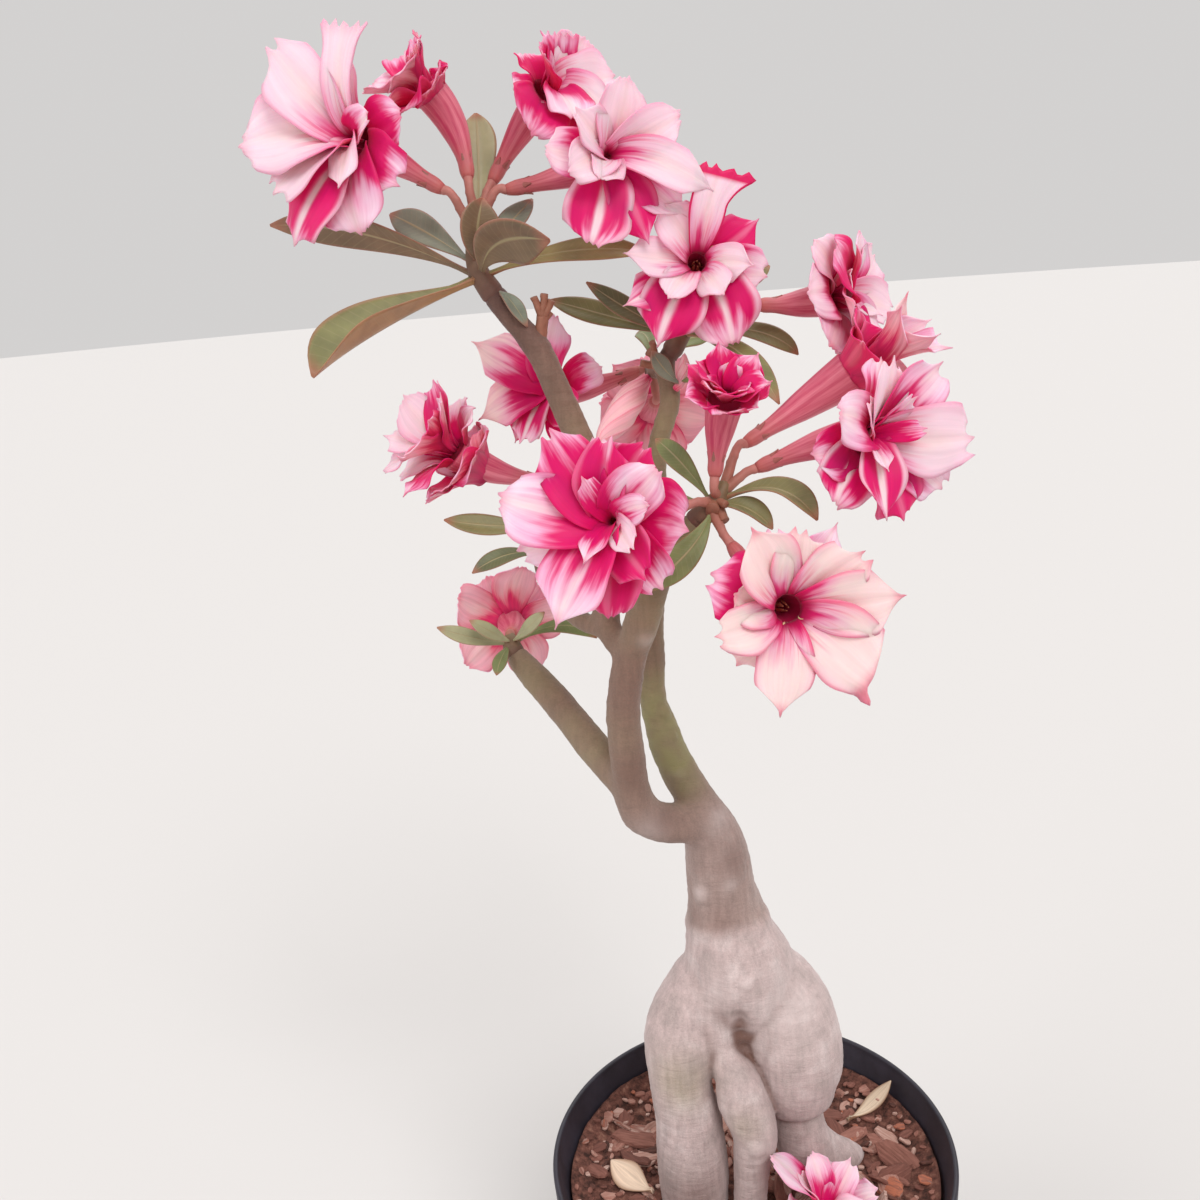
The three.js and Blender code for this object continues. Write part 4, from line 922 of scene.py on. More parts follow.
def leaf_blade(draft, draw, base, halfway, tip, width, facing, fold, colours):
    """A leaf along a bend through its base, halfway point and tip."""
    base, halfway, tip = (np.array(place, float) for place in (base, halfway, tip))
    control = 2 * halfway - 0.5 * base - 0.5 * tip
    share = np.linspace(0, 1, LEAF_ROWS)[:, None]
    tangent = unit(2 * (1 - share) * (control - base) + 2 * share * (tip - control))
    side = unit(np.cross(facing, tangent))
    normal = unit(np.cross(tangent, side))
    half = width / 2 * np.maximum(LEAF_NARROWEST, np.abs(np.sin(math.pi * share ** 1.6)) ** 0.8)
    half[-1] = LEAF_TIP * width
    across = np.linspace(-1, 1, LEAF_COLUMNS)[None, :]
    phase = draw.uniform(0, 6.3)
    wave = LEAF_WAVE * np.sin(9 * share + phase + 1.4 * np.sign(across)) * across ** 2 * share
    lift = fold * np.abs(across) ** 1.25 - LEAF_CUP * across ** 4 + wave
    grid = (bow(base, control, tip, share)[:, None] + side[:, None] * (half * across)[..., None]
            + normal[:, None] * (half * lift)[..., None])
    rib = MIDRIB * np.exp(-(half * across / 0.9) ** 2) * (1 - share) ** 0.7
    foot = LEAF_FOOT * np.exp(-share / 0.06)
    points, faces, _ = thin_sheet(grid, LEAF_EDGE + rib + foot)
    front, back = points.reshape(2, *grid.shape)
    sides = [linear(colour) for colour in LEAF_COLOURS[colours]]
    if np.sum((front - back) * normal[:, None], axis=2).mean() <= 0:
        sides.reverse()
    draft.join(points, faces, 1, np.vstack([place_on(across, share, phase)] * 2),
               np.repeat(sides, len(points) // 2, axis=0))


def stalk_path(start, bloom):
    """From its place on the stem a stalk bends into line with the tube of its bloom."""
    base, throat, face = (np.array(place, float) for place in BLOOM_SEATS[bloom])
    bend = throat - unit(face) * np.linalg.norm(throat - base) / 2
    direction = unit(bend - base)
    return [
        (*start, STALK_RADIUS + 0.7),
        (*(base - direction * STALK_STRAIGHT), STALK_RADIUS),
        (*(base - direction * SEAT), STALK_RADIUS + 0.3),
    ]


def knobbly(points, path, sides, spacing, height):
    """Raises the scars of fallen leaves, in a turning row, on the points of a limb."""
    rings = len(path)
    steps = np.linalg.norm(np.diff(path[:, :3], axis=0), axis=1)
    run = np.concatenate([[0], np.cumsum(steps)])
    body = points[:rings * sides].reshape(rings, sides, 3)
    out = body - path[:, None, :3]
    radius = np.linalg.norm(out, axis=2, keepdims=True)
    turn = angles_round(sides)
    rise = np.zeros((rings, sides))
    for index in range(int(run[-1] / spacing) + 1):
        turned_away = (turn - index * SCAR_TURN + math.pi) % (2 * math.pi) - math.pi
        away = np.abs(turned_away)[None] * radius[..., 0]
        rise += height * np.exp(-(away / 1.6) ** 2 - ((run[:, None] - index * spacing) / 0.9) ** 2)
    points[:rings * sides] = (body + out / radius * rise[..., None]).reshape(-1, 3)
    return points


def join_shoot(draft, stations, sides, step, scars, colours, end_dome=0.0, unevenness=0.0):
    """Adds a knobbly limb whose colour changes from its foot to its end."""
    points, faces, path = limb(stations, sides, step, 0, end_dome, unevenness)
    share = np.linspace(0, 1, len(path))
    foot, end = (linear(colour) for colour in colours)
    shade = np.outer(1 - share, foot) + np.outer(share, end)
    draft.join(knobbly(points, path, sides, *scars), faces,
               finish=np.vstack([np.repeat(shade, sides, axis=0), shade[0], shade[-1]]))


def young_stem():
    # Soft reddish-brown shoot skin that turns green towards the tip, dull with a little sheen.
    look = new_look("young_stem_skin")
    finish = add(look, "Attribute", {"attribute_name": "finish"}).outputs["Color"]
    place = add(look, "TexCoord").outputs["Object"]
    blotch = add(look, "TexNoise", {"Vector": place, "Scale": per_metre(STEM_BLOTCH), "Detail": 5})
    level = add(look, "MapRange", {"Value": blotch, "span": (0, 1, 0.75, 1.2)})
    colour = add(look, "Mix", {**TIMES, 6: finish, 7: level})
    relief = add(look, "Bump", {"Height": blotch, "Strength": 0.3, "Distance": 0.0004})
    return surfaced(look, {"Base Color": colour, "Roughness": 0.55, "Specular IOR Level": 0.4,
                           "Normal": relief})


def succulent_leaf():
    # A thick leaf with a waxy bloom: soft highlights, a pale midrib, faint side veins, and a
    # reddish blush on the edge and the tip.
    look = new_look("succulent_leaf")
    finish = add(look, "Attribute", {"attribute_name": "finish"}).outputs["Color"]
    spot = add(look, "Attribute", {"attribute_name": "place"}).outputs["Vector"]
    spot = add(look, "SeparateXYZ", {"Vector": spot}).outputs
    off_rib = add(look, "Math", {"operation": "ABSOLUTE", 0: spot["X"]})
    rib = add(look, "MapRange", {**SMOOTH, "Value": off_rib, "span": (0.02, 0.11, 0.75, 0)})
    slanted = add(look, "Math", {"operation": "MULTIPLY_ADD", 0: off_rib, 1: -0.09, 2: spot["Y"]})
    veins = add(look, "Math", {"operation": "PINGPONG", 0: slanted, 1: VEIN_SPACING / 2})
    vein = add(look, "MapRange", {"Value": veins, "span": (0, 0.006, 0.16, 0)})
    line = add(look, "Math", {"operation": "MAXIMUM", 0: rib, 1: vein})
    place = add(look, "TexCoord").outputs["Object"]
    cloud = add(look, "TexNoise", {"Vector": place, "Scale": per_metre(LEAF_CLOUD), "Detail": 6})
    level = add(look, "MapRange", {"Value": cloud, "span": (0.3, 0.7, 0.78, 1.18)})
    edge = add(look, "MapRange", {**SMOOTH, "Value": off_rib, "span": (0.86, 1, 0, 0.55)})
    tip = add(look, "MapRange", {**SMOOTH, "Value": spot["Y"], "span": (0.86, 1, 0, 0.8)})
    blush = add(look, "Math", {"operation": "MAXIMUM", 0: edge, 1: tip})
    colour = add(look, "Mix", {**TIMES, 6: finish, 7: level})
    colour = add(look, "Mix", {**MIX, "Factor": line, 6: colour, 7: LEAF_VEIN})
    colour = add(look, "Mix", {**MIX, "Factor": blush, 6: colour, 7: LEAF_BLUSH})
    relief = add(look, "Bump", {"Height": line, "Strength": 0.4, "Distance": 0.0005})
    return surfaced(look, {
        "Base Color": colour, "Roughness": 0.48, "Specular IOR Level": 0.45, "Sheen Weight": 0.12,
        "Subsurface Weight": 0.08, "Subsurface Radius": (0.4, 0.6, 0.2),
        "Subsurface Scale": 0.002, "Normal": relief})


stem_skin = young_stem()
leaf_skin = succulent_leaf()
for name, (branch, stem, stalks, leaves) in LEAFY_TIPS.items():
    draw = random.Random(name)
    end = np.array(branch[-1][:3], float)
    direction = unit(end - np.array(branch[-2][:3], float))
    foot = [(*(end + direction * away), branch[-1][3] * share)
            for away, share in ((-STEM_FOOT, 0.7), (0, 0.97), (2, 1))]
    tip = Draft()
    join_shoot(tip, [*foot, *stem], STEM_SIDES, 0.8, STEM_SCARS, (STEM_REDDISH, STEM_GREEN), 1.6)
    for start, bloom in stalks:
        join_shoot(tip, stalk_path(start, bloom), STALK_SIDES, 0.9, STALK_SCARS,
                   (STUB_BROWN, STALK_PINK))
    for foot, end, radius in OLD_STUBS.get(name, ()):
        join_shoot(tip, [(*foot, radius * 1.1), (*end, radius)], STUB_SIDES, 0.7, STUB_SCARS,
                   (STUB_BROWN, STUB_BROWN), -STUB_CUT * radius, 0.3)
    for leaf in leaves:
        leaf_blade(tip, draw, *leaf)
    finished_piece(tip, name + ".grown", [stem_skin, leaf_skin], [name])

# ------------------------------------------------------------------ double blooms
# Each bloom is one soft corolla: a tube that widens from its calyx, and two whorls of thin
# petals that stand out of its mouth, ruffled and torn at the ends. In the open throats stand
# small yellowish scales round the cone of anthers.

PETAL_ROWS = 22
PETAL_COLUMNS = 17
PETAL_THICKNESS = 0.5
PETAL_STEPS = 40
PETAL_FULLNESS = 1.14  # how much wider a petal lies than it stands in the table
PETAL_FOOT = 0.4  # share of its width that a petal has at its root
WIDEST = 0.6  # share of a petal's length
RUFFLE = 0.15  # of a petal's width, how far its large waves go up and down
SMALL_RUFFLE = 0.075
FURROW = 0.03  # of a petal's width
SCALLOP = 0.035  # of a petal's width
# Radius and depth of a whorl's roots, the degrees that a petal rises there, and how much it
# is turned like the blade of a fan.
INNER_ROOT = (1.3, 2.5, 80, 0.22)
OPEN_ROOT = (5.6, 1.5, 68, 0.18)
OTHER_INNER_ROOTS = {"bloom_centre": OPEN_ROOT, "bloom_low_right": OPEN_ROOT,
                     "bloom_half_open": (3.4, 0.8, 77, 0.2)}
OUTER_ROOT = (6.4, 5, 76, 0.12)
BELL_ROOT = (5, 22, 78, 0.1)
INNER_DROOP = (-12, 22)  # degrees, how far a petal bends down again near its end
OUTER_DROOP = (-4, 30)
WRAP = 1.2  # radians, how far a petal goes round the throat on either side
CALYX_RADIUS = 3.2
MOUTH_RADIUS = 7.6
USUAL_TUBE = 30  # mm long
TUBE_PROFILE = [(0, 2.2), (0.07, CALYX_RADIUS), (0.2, 3.4), (0.4, 4.9), (0.55, 6.0),
                (0.8, 7.1), (1, MOUTH_RADIUS)]
# How much wider than usual the mouth of a tube is.
FLARED = {"bloom_right_tulip": 0.25, "bloom_left": 0.2, "bloom_centre": -0.25}
TUBE_SIDES = 30
TUBE_RIBS = 0.035  # of the radius, how far the tube's five ribs stand out
RIM = 0.93  # share of the way to the throat, where the tube parts into petals
THROAT_PROFILE = [(-2.6, 6.9), (-4.5, 6.1), (-7.5, 4.6), (-11.5, 3.0), (-13.5, 1.6)]
SEPALS = 5
SEPAL_LENGTH = 8
SEPAL_WIDTH = 3
THROAT_SCALES = 10
ANTHERS = 5
BLADE_ROWS = 8
BLADE_COLUMNS = 5
BLADE_THICKNESS = 0.45
TUBE_SLOT = 2
GREEN_SLOT = 3  # the material of sepals and scales

# How a petal is coloured: how far the crimson reaches from the throat, how pale the stripe
# along its middle is, how creamy its pale part is, how red its fringe is.
PETAL_FINISHES = {
    "pale": (0.12, 0, 0.2, 0.3),
    "tipped": (0.14, 0, 0.2, 4),
    "cream": (0.13, 0, 0.8, 0.6),
    "rosy": (0.5, 0.15, 0.15, 0.3),
    "half": (0.55, 0.0, 0.0, 0.5),
    "faded": (0.3, 0.0, 0.1, 0.5),
    "striped": (0.86, 1.0, 0.35, 0.4),
    "crimson": (1.0, 0.3, 0.1, 0.3),
    "hot": (0.8, 0.0, 0.0, 0.6),
    "salmon": (0.5, 0.0, 0.8, 0.3),
}
# How a petal ends: share of its width that is gone at the tip.
PETAL_ENDS = {"round": 0.62, "point": 0.88, "torn": 0.55, "spur": 0.4, "fringe": 0.1,
              "flag": -0.5}

# Each petal: turn, reach, width, lift, finish, end. The bloom at the left has a third whorl,
# which goes forward along the tube like a bell.
BLOOM_PETALS = {
    "bloom_top_left": (
        [(129, 42, 24, 10, "pale", "torn"), (79, 37, 12, 14, "pale", "flag"),
         (-173, 42, 30, 6, "pale", "round"), (-140, 37, 24, 6, "pale", "torn"),
         (-77, 25, 15, 20, "pale", "point"), (8, 17, 14, 32, "half", "torn")],
        [(-122, 50, 27, -2, "striped", "torn"), (-80, 40, 28, -6, "half", "round"),
         (-40, 32, 24, -2, "hot", "torn"), (105, 34, 20, -6, "pale", "round"),
         (15, 24, 20, 0, "hot", "round"), (165, 34, 24, -8, "pale", "round")],
    ),
    "bloom_top_left_side": (
        [(90, 13, 14, 50, "hot", "fringe"), (150, 14, 14, 46, "hot", "fringe"),
         (20, 14, 14, 46, "hot", "fringe"), (-40, 17, 17, 38, "half", "round"),
         (-95, 20, 19, 34, "pale", "round"), (-150, 18, 16, 38, "half", "round")],
        [(-98, 25, 22, 22, "rosy", "round"), (-58, 21, 20, 18, "hot", "round"),
         (-140, 21, 19, 20, "hot", "round"), (-15, 16, 18, 16, "hot", "round"),
         (35, 13, 16, 24, "hot", "torn"), (90, 12, 15, 30, "hot", "torn"),
         (150, 15, 17, 20, "hot", "round")],
    ),
    "bloom_top_middle": (
        [(75, 26, 19, 18, "pale", "round"), (21, 29, 17, 14, "pale", "round"),
         (-29, 41, 16, 6, "pale", "point"), (-158, 23, 17, 24, "pale", "round"),
         (-126, 16, 14, 40, "pale", "round"), (138, 21, 16, 26, "pale", "torn")],
        [(-112, 38, 25, -4, "striped", "round"), (-73, 37, 19, -4, "crimson", "point"),
         (-43, 38, 16, -8, "rosy", "point"), (170, 26, 18, -4, "rosy", "round"),
         (50, 26, 17, -4, "rosy", "torn")],
    ),
    "bloom_top_middle_side": (
        [(80, 17, 16, 32, "hot", "fringe"), (42, 22, 20, 22, "pale", "round"),
         (-8, 24, 20, 20, "pale", "round"), (-58, 28, 20, 14, "pale", "round"),
         (-110, 24, 18, 22, "half", "round"), (150, 15, 15, 44, "hot", "fringe")],
        [(-138, 34, 24, 0, "hot", "round"), (-98, 31, 20, -2, "hot", "torn"),
         (105, 18, 17, 6, "hot", "fringe"), (20, 26, 20, -4, "pale", "round"),
         (-170, 24, 18, 4, "half", "torn"), (-40, 26, 20, -6, "pale", "round")],
    ),
    "bloom_centre": (
        [(72, 33, 13, 26, "tipped", "flag"), (122, 24, 18, 22, "pale", "round"),
         (175, 29, 15, 16, "pale", "point"), (-128, 20, 14, 34, "pale", "round"),
         (-60, 19, 14, 34, "pale", "round"), (-16, 22, 14, 26, "pale", "point")],
        [(-118, 38, 25, -2, "striped", "point"), (-153, 34, 16, -4, "striped", "point"),
         (-72, 38, 26, -2, "striped", "round"), (-15, 30, 20, 0, "rosy", "torn"),
         (30, 29, 17, 2, "crimson", "point")],
    ),
    "bloom_right_upper": (
        [(132, 26, 24, 12, "hot", "round"), (85, 24, 17, 20, "half", "torn"),
         (35, 24, 18, 18, "pale", "torn"), (-30, 24, 18, 20, "pale", "torn"),
         (-90, 24, 18, 18, "pale", "round"), (-150, 26, 20, 12, "half", "round"),
         (150, 13, 9, 40, "pale", "torn"), (-60, 13, 9, 45, "pale", "point")],
        [(120, 28, 20, -4, "pale", "round"), (172, 30, 22, -6, "rosy", "round"),
         (-142, 31, 23, -6, "half", "round"), (-95, 30, 20, -2, "pale", "torn"),
         (-50, 27, 17, 4, "pale", "torn"), (60, 27, 17, 4, "hot", "torn")],
    ),
    "bloom_right_tulip": (
        [(0, 12, 16, 70, "rosy", "point"), (72, 13, 16, 68, "cream", "point"),
         (144, 14, 17, 66, "half", "point"), (-144, 13, 16, 70, "rosy", "point"),
         (-72, 12, 16, 72, "half", "torn")],
        [(90, 19, 22, 56, "crimson", "torn"), (158, 18, 24, 54, "crimson", "point"),
         (-128, 17, 24, 60, "half", "point"), (-62, 17, 22, 62, "cream", "point"),
         (20, 18, 22, 58, "crimson", "point")],
    ),
    "bloom_right_lower": (
        [(158, 28, 20, 16, "half", "round"), (-104, 31, 18, 10, "striped", "point"),
         (-9, 40, 25, 8, "pale", "torn"), (40, 34, 21, 14, "half", "torn"),
         (88, 27, 18, 24, "pale", "torn"), (125, 17, 13, 36, "rosy", "torn"),
         (60, 15, 9, 50, "half", "torn"), (-120, 14, 9, 48, "rosy", "point"),
         (0, 12, 8, 58, "hot", "torn")],
        [(-174, 29, 19, -4, "hot", "round"), (-134, 32, 23, -4, "striped", "round"),
         (-72, 37, 21, -2, "crimson", "torn"), (-38, 43, 20, -4, "half", "torn"),
         (18, 36, 19, -4, "half", "torn"), (70, 30, 18, 0, "half", "torn")],
    ),
    "bloom_half_open": (
        [(92, 15, 14, 40, "hot", "point"), (30, 15, 14, 38, "hot", "point"),
         (-30, 14, 13, 40, "hot", "point"), (150, 14, 14, 40, "crimson", "point"),
         (-140, 14, 14, 40, "hot", "point"), (-85, 14, 13, 42, "crimson", "point"),
         (60, 9, 9, 55, "half", "torn"), (-60, 9, 9, 55, "hot", "torn"),
         (180, 9, 9, 55, "hot", "torn")],
        [(2, 18, 15, 24, "hot", "point"), (62, 19, 15, 20, "crimson", "point"),
         (125, 19, 15, 22, "crimson", "point"), (-172, 18, 15, 26, "hot", "point"),
         (-115, 15, 15, 38, "hot", "round"), (-60, 15, 15, 38, "hot", "point")],
    ),
    "bloom_front": (
        [(168, 40, 25, 12, "half", "round"), (-113, 43, 26, 6, "half", "point"),
         (37, 29, 19, 22, "half", "round"), (122, 38, 22, 14, "hot", "torn"),
         (-48, 29, 20, 16, "crimson", "torn"), (80, 30, 19, 20, "crimson", "torn"),
         (10, 21, 11, 42, "half", "round"), (-39, 19, 11, 46, "pale", "torn"),
         (-100, 17, 10, 48, "half", "point"), (110, 15, 9, 52, "hot", "torn")],
        [(-160, 39, 22, -4, "half", "torn"), (-90, 37, 27, -4, "crimson", "round"),
         (-7, 31, 28, -2, "hot", "torn"), (62, 32, 20, 2, "crimson", "torn"),
         (100, 33, 20, -4, "half", "torn"), (-52, 34, 20, -6, "hot", "torn")],
    ),
    "bloom_low_right": (
        [(114, 34, 23, 14, "cream", "point"), (78, 30, 19, 14, "cream", "torn"),
         (34, 33, 20, 12, "cream", "torn"), (2, 40, 23, 8, "cream", "point"),
         (-46, 39, 27, 6, "cream", "spur"), (-103, 38, 20, 6, "cream", "point"),
         (156, 23, 18, 18, "cream", "round"), (-170, 31, 17, 10, "cream", "torn")],
        [(54, 36, 14, -2, "half", "point"), (-18, 31, 20, -8, "cream", "torn"),
         (-138, 29, 19, -6, "cream", "torn"), (154, 33, 25, -8, "hot", "torn"),
         (96, 31, 18, -8, "half", "torn"), (-75, 29, 18, -8, "cream", "torn")],
    ),
    "bloom_left": (
        [(-110, 28, 21, 22, "pale", "round"), (-155, 27, 20, 30, "pale", "torn"),
         (162, 25, 19, 38, "pale", "round"), (115, 24, 18, 36, "hot", "torn"),
         (62, 18, 17, 46, "half", "torn"), (-60, 21, 19, 36, "half", "torn"),
         (5, 15, 17, 54, "hot", "torn")],
        [(-80, 31, 22, 10, "hot", "point"), (-132, 32, 21, 8, "pale", "torn"),
         (172, 28, 20, 18, "hot", "round"), (122, 27, 17, 16, "rosy", "torn"),
         (62, 21, 18, 28, "rosy", "round")],
        [(-42, 27, 30, 34, "hot", "round"), (2, 24, 28, 38, "hot", "round"),
         (46, 20, 24, 46, "hot", "round"), (-88, 27, 24, 26, "hot", "round"),
         (100, 17, 22, 50, "rosy", "round"), (180, 18, 22, 48, "rosy", "round")],
    ),
    "bloom_back_left": (
        [(75, 31, 18, 14, "rosy", "round"), (151, 38, 20, 10, "salmon", "point"),
         (-152, 33, 20, 10, "salmon", "point"), (-100, 28, 17, 16, "striped", "torn"),
         (-39, 27, 17, 14, "hot", "round")],
        [(112, 31, 18, -4, "rosy", "round"), (178, 34, 18, -8, "salmon", "torn"),
         (-126, 30, 18, -4, "striped", "point"), (-65, 29, 18, -8, "hot", "torn"),
         (20, 27, 16, -2, "rosy", "round")],
    ),
    "bloom_low_left": (
        [(turn, 24 + turn % 3, 20, 14, "faded", "round") for turn in range(0, 360, 72)],
        [(turn, 31 + turn % 3, 20, -10, "faded", "round") for turn in range(36, 396, 72)],
    ),
    "bloom_back": (
        [(turn, 26 + turn % 3, 20, 14, "rosy", "round") for turn in range(15, 375, 72)],
        [(turn, 29 + turn % 3, 22, -8, "faded", "point") for turn in range(51, 411, 72)],
    ),
}
PETAL_PALE = "#fcd3e4"
PETAL_CREAM = "#f8d2cb"
PETAL_PINK = "#f07fb2"
PETAL_CRIMSON = "#dc0466"
PETAL_THROAT = "#b50d4a"
PETAL_FRINGE = "#d81a5f"
PETAL_BACK = "#f7b6c1"
PETAL_BACK_PINK = "#f2788a"
PETAL_BACK_DEEP = "#e22a66"
TUBE_ROSE = "#c04262"
TUBE_PALE = "#e08292"
TUBE_BASE = "#bb6a60"
THROAT_DEEP = "#a3163f"
SEPAL_COLOURS = ("#a25f58", "#96645a")
SCALE_CREAM = "#ecca9f"
ANTHER = "#b9694f"
TUBE_FUZZ = 1.2  # mm, across a grain of the tube's fine down
# Blooms whose throat shows its yellowish scales.
OPEN_THROATS = ("bloom_centre", "bloom_low_right")


class BloomFrame:
    """The bloom's own directions: out of its throat, to its right and up."""

    def __init__(self, base, throat, face):
        self.out = unit(face)
        self.right = unit(np.cross((0, 0, 1), self.out))
        self.up = np.cross(self.out, self.right)
        self.centre = np.array(throat, float)
        self.start = np.array(base, float)
        reach = np.linalg.norm(self.centre - self.start)
        self.bend = self.centre - self.out * reach / 2

    def tube(self, share):
        return bow(self.start, self.bend, self.centre, np.asarray(share, float)[:, None])

    def sideways(self, turn):
        return self.right * math.cos(turn) + self.up * math.sin(turn)


def petal_half_width(share, lost_at_tip):
    """Half the width of a petal, as a share of its widest, along its length."""
    rising = PETAL_FOOT + (1 - PETAL_FOOT) * np.sin(math.pi / 2 * np.minimum(share / WIDEST, 1))
    after = np.clip((share - WIDEST) / 0.4, 0, 1)
    return rising * np.maximum(1 - lost_at_tip * after ** 2.2, 0) ** 0.9


def petal_end(across, end, draw):
    """How far each column of a petal reaches, as a share of its length."""
    lobes, shift = draw.uniform(1.8, 2.6), draw.uniform(0, 1)
    edge = np.abs(across)
    if end == "round":
        crinkles = 0.015 * np.sin(7 * across + 6 * shift) + 0.018 * np.sin(15 * across + 9 * shift)
        return 1 - 0.15 * edge ** 2.6 + crinkles
    if end == "point":
        return 1.06 - 0.32 * edge ** 1.2
    if end == "spur":
        return 0.98 - 0.1 * across - 0.1 * edge ** 2 + 0.16 * np.exp(-((across + 0.85) / 0.2) ** 2)
    if end == "flag":
        return 1.05 - 0.05 * across - 0.08 * np.abs(np.sin(math.pi * (2.3 * across + shift)))
    if end == "fringe":
        return 1.03 - 0.1 * np.abs(np.sin(math.pi * (2.6 * across + shift)))
    notch = np.abs(np.sin(math.pi * (lobes * across / 2 + shift + 0.1 * np.sin(4 * across))))
    return 1.05 - 0.14 * edge ** 2 - 0.13 * notch ** 0.8


def petal_grid(bloom, draw, turn, reach, width, lift, end, root):
    """The middle surface of a petal: it stands up out of the throat and then bends outward."""
    root_radius, depth, rise, turned_by = root
    width = width * PETAL_FULLNESS
    out = bloom.sideways(math.radians(turn))
    side = np.cross(bloom.out, out)
    droop = draw.uniform(*(OUTER_DROOP if rise == OUTER_ROOT[2] else INNER_DROOP))
    fine = (np.arange(PETAL_STEPS * 2) + 0.5) / PETAL_STEPS
    plain = lift + (rise - lift) * np.clip(1 - fine, 0, 1) ** 2.8
    slope = np.radians(plain - droop * np.clip((fine - 0.55) / 0.45, 0, 1.2))
    length = (reach - root_radius) / np.cos(np.radians(plain[:PETAL_STEPS])).mean()
    ahead = np.cos(slope)[:, None] * out + np.sin(slope)[:, None] * bloom.out
    start = bloom.centre + out * root_radius - bloom.out * depth
    spine = np.vstack([start, start + np.cumsum(length / PETAL_STEPS * ahead, axis=0)])
    run = np.arange(len(spine)) / PETAL_STEPS
    across = np.linspace(-1, 1, PETAL_COLUMNS)[None, :]
    rows = np.linspace(0, 1, PETAL_ROWS)[:, None]
    share = rows * petal_end(across, end, draw) * (1 + draw.uniform(-0.08, 0.08) * across)
    sway = draw.uniform(-0.1, 0.1) * width * np.sin(2.8 * share)
    middle = np.stack([np.interp(share, run, spine[:, axis]) for axis in range(3)], axis=-1)
    angle_here = np.interp(share, fine, slope)
    normal = (np.cos(angle_here)[..., None] * bloom.out - np.sin(angle_here)[..., None] * out)
    edge, flank = np.abs(across), np.sign(across)
    phases = [draw.uniform(0, 6.3) for _ in range(5)]
    scalloped = 1 + SCALLOP * np.sin(11 * share + phases[4] + 2 * flank) * edge ** 3
    half = width / 2 * petal_half_width(share, PETAL_ENDS[end]) * scalloped * across
    if end == "flag":
        half = half * (1 + 0.5 * (across < 0) * np.clip(share / 0.3 - 2.1, 0, 1))
    # Round the throat the petals lie on one funnel; each is also a little cupped or bent back.
    from_axis = np.maximum((middle - bloom.centre) @ out, root_radius)
    most = WRAP / np.maximum(np.abs(half).max(axis=1, keepdims=True), 1)
    curl = np.clip(np.sin(angle_here) / from_axis, -most, most) + draw.uniform(-0.3, 0.8) / width
    big = np.sin(5.4 * share + phases[0] + phases[3] * flank)
    small = np.sin(14 * share + phases[1] + 2.1 * flank)
    ruffle = (RUFFLE * big * edge ** 1.7 + SMALL_RUFFLE * small * edge ** 3) * share ** 1.6
    furrow = -FURROW * np.exp(-(across / 0.16) ** 2) * np.sin(math.pi * np.clip(share, 0, 1))
    ribs = 0.008 * np.sin(11 * across + phases[2]) * share
    tilt = turned_by * (1 - 0.5 * share)
    height = ((1 - np.cos(curl * half)) / curl + width * (ruffle + furrow + ribs) + tilt * half)
    return (middle + side * (np.sin(curl * half) / curl + sway)[..., None]
            + normal * height[..., None]), across, share


def add_petal(draft, draw, bloom, turn, reach, width, lift, finish, end, root):
    grid, across, share = petal_grid(bloom, draw, turn, reach, width, lift, end, root)
    points, faces, front = thin_sheet(grid, PETAL_THICKNESS)
    above, below = points.reshape(2, -1, 3)
    inside, outside = (0, 1) if np.dot((above - below).mean(axis=0), bloom.out) > 0 else (1, 0)
    place = place_on(across, share, draw.uniform(0, 50))
    draft.join(points, faces, [inside] * front + [outside] * (len(faces) - front),
               np.vstack([place, place]), PETAL_FINISHES[finish])


def add_tube(draft, bloom, flare):
    """The corolla tube with its calyx, and the throat that goes down into it."""
    profile = smooth_path(
        [(share * USUAL_TUBE, 0, 0, radius) for share, radius in TUBE_PROFILE], 1.2)
    shares = profile[:, 0] / USUAL_TUBE
    centres = bloom.tube(shares * RIM)
    _, first, second = across_frames(centres)
    angles = angles_round(TUBE_SIDES)
    circle = circles(first, second, angles)
    widened = profile[:, 3] * (1 + flare * np.clip((shares - 0.3) / 0.7, 0, 1) ** 1.2)
    ribbed = widened[:, None] * (1 + TUBE_RIBS * shares[:, None] * np.cos(5 * angles)[None])
    inside = [bloom.centre + bloom.out * depth + circle[-1] * radius * (1 + flare)
              for depth, radius in THROAT_PROFILE]
    rings = np.concatenate([centres[:, None] + circle * ribbed[..., None], inside])
    ends = [bloom.start, bloom.centre + bloom.out * (THROAT_PROFILE[-1][0] - 1)]
    along = np.concatenate([shares, np.linspace(1.1, 2, len(THROAT_PROFILE))])
    place = np.vstack([place_on(angles[None], along[:, None], 0), (0, 0, 0), (0, 2, 0)])
    draft.join(np.vstack([rings.reshape(-1, 3), *ends]), closed_faces(len(rings), TUBE_SIDES),
               TUBE_SLOT, place)


def add_blade(draft, root, direction, outward, length, width, curve, colour):
    """A small pointed blade: a sepal, or a scale in the throat."""
    share = np.linspace(0, 1, BLADE_ROWS)[:, None]
    across = np.linspace(-1, 1, BLADE_COLUMNS)[None, :]
    side = unit(np.cross(direction, outward))
    half = width / 2 * (0.35 + 0.65 * np.sin(math.pi * share ** 0.7)) * (1 - 0.97 * share ** 4)
    spine = root + share * length * direction + (share ** 2) * length * curve * outward
    cup = -0.12 * width * across ** 2 * np.ones_like(share)
    grid = spine[:, None] + side * (half * across)[..., None] + outward * cup[..., None]
    points, faces, _ = thin_sheet(grid, BLADE_THICKNESS)
    draft.join(points, faces, GREEN_SLOT, finish=linear(colour))


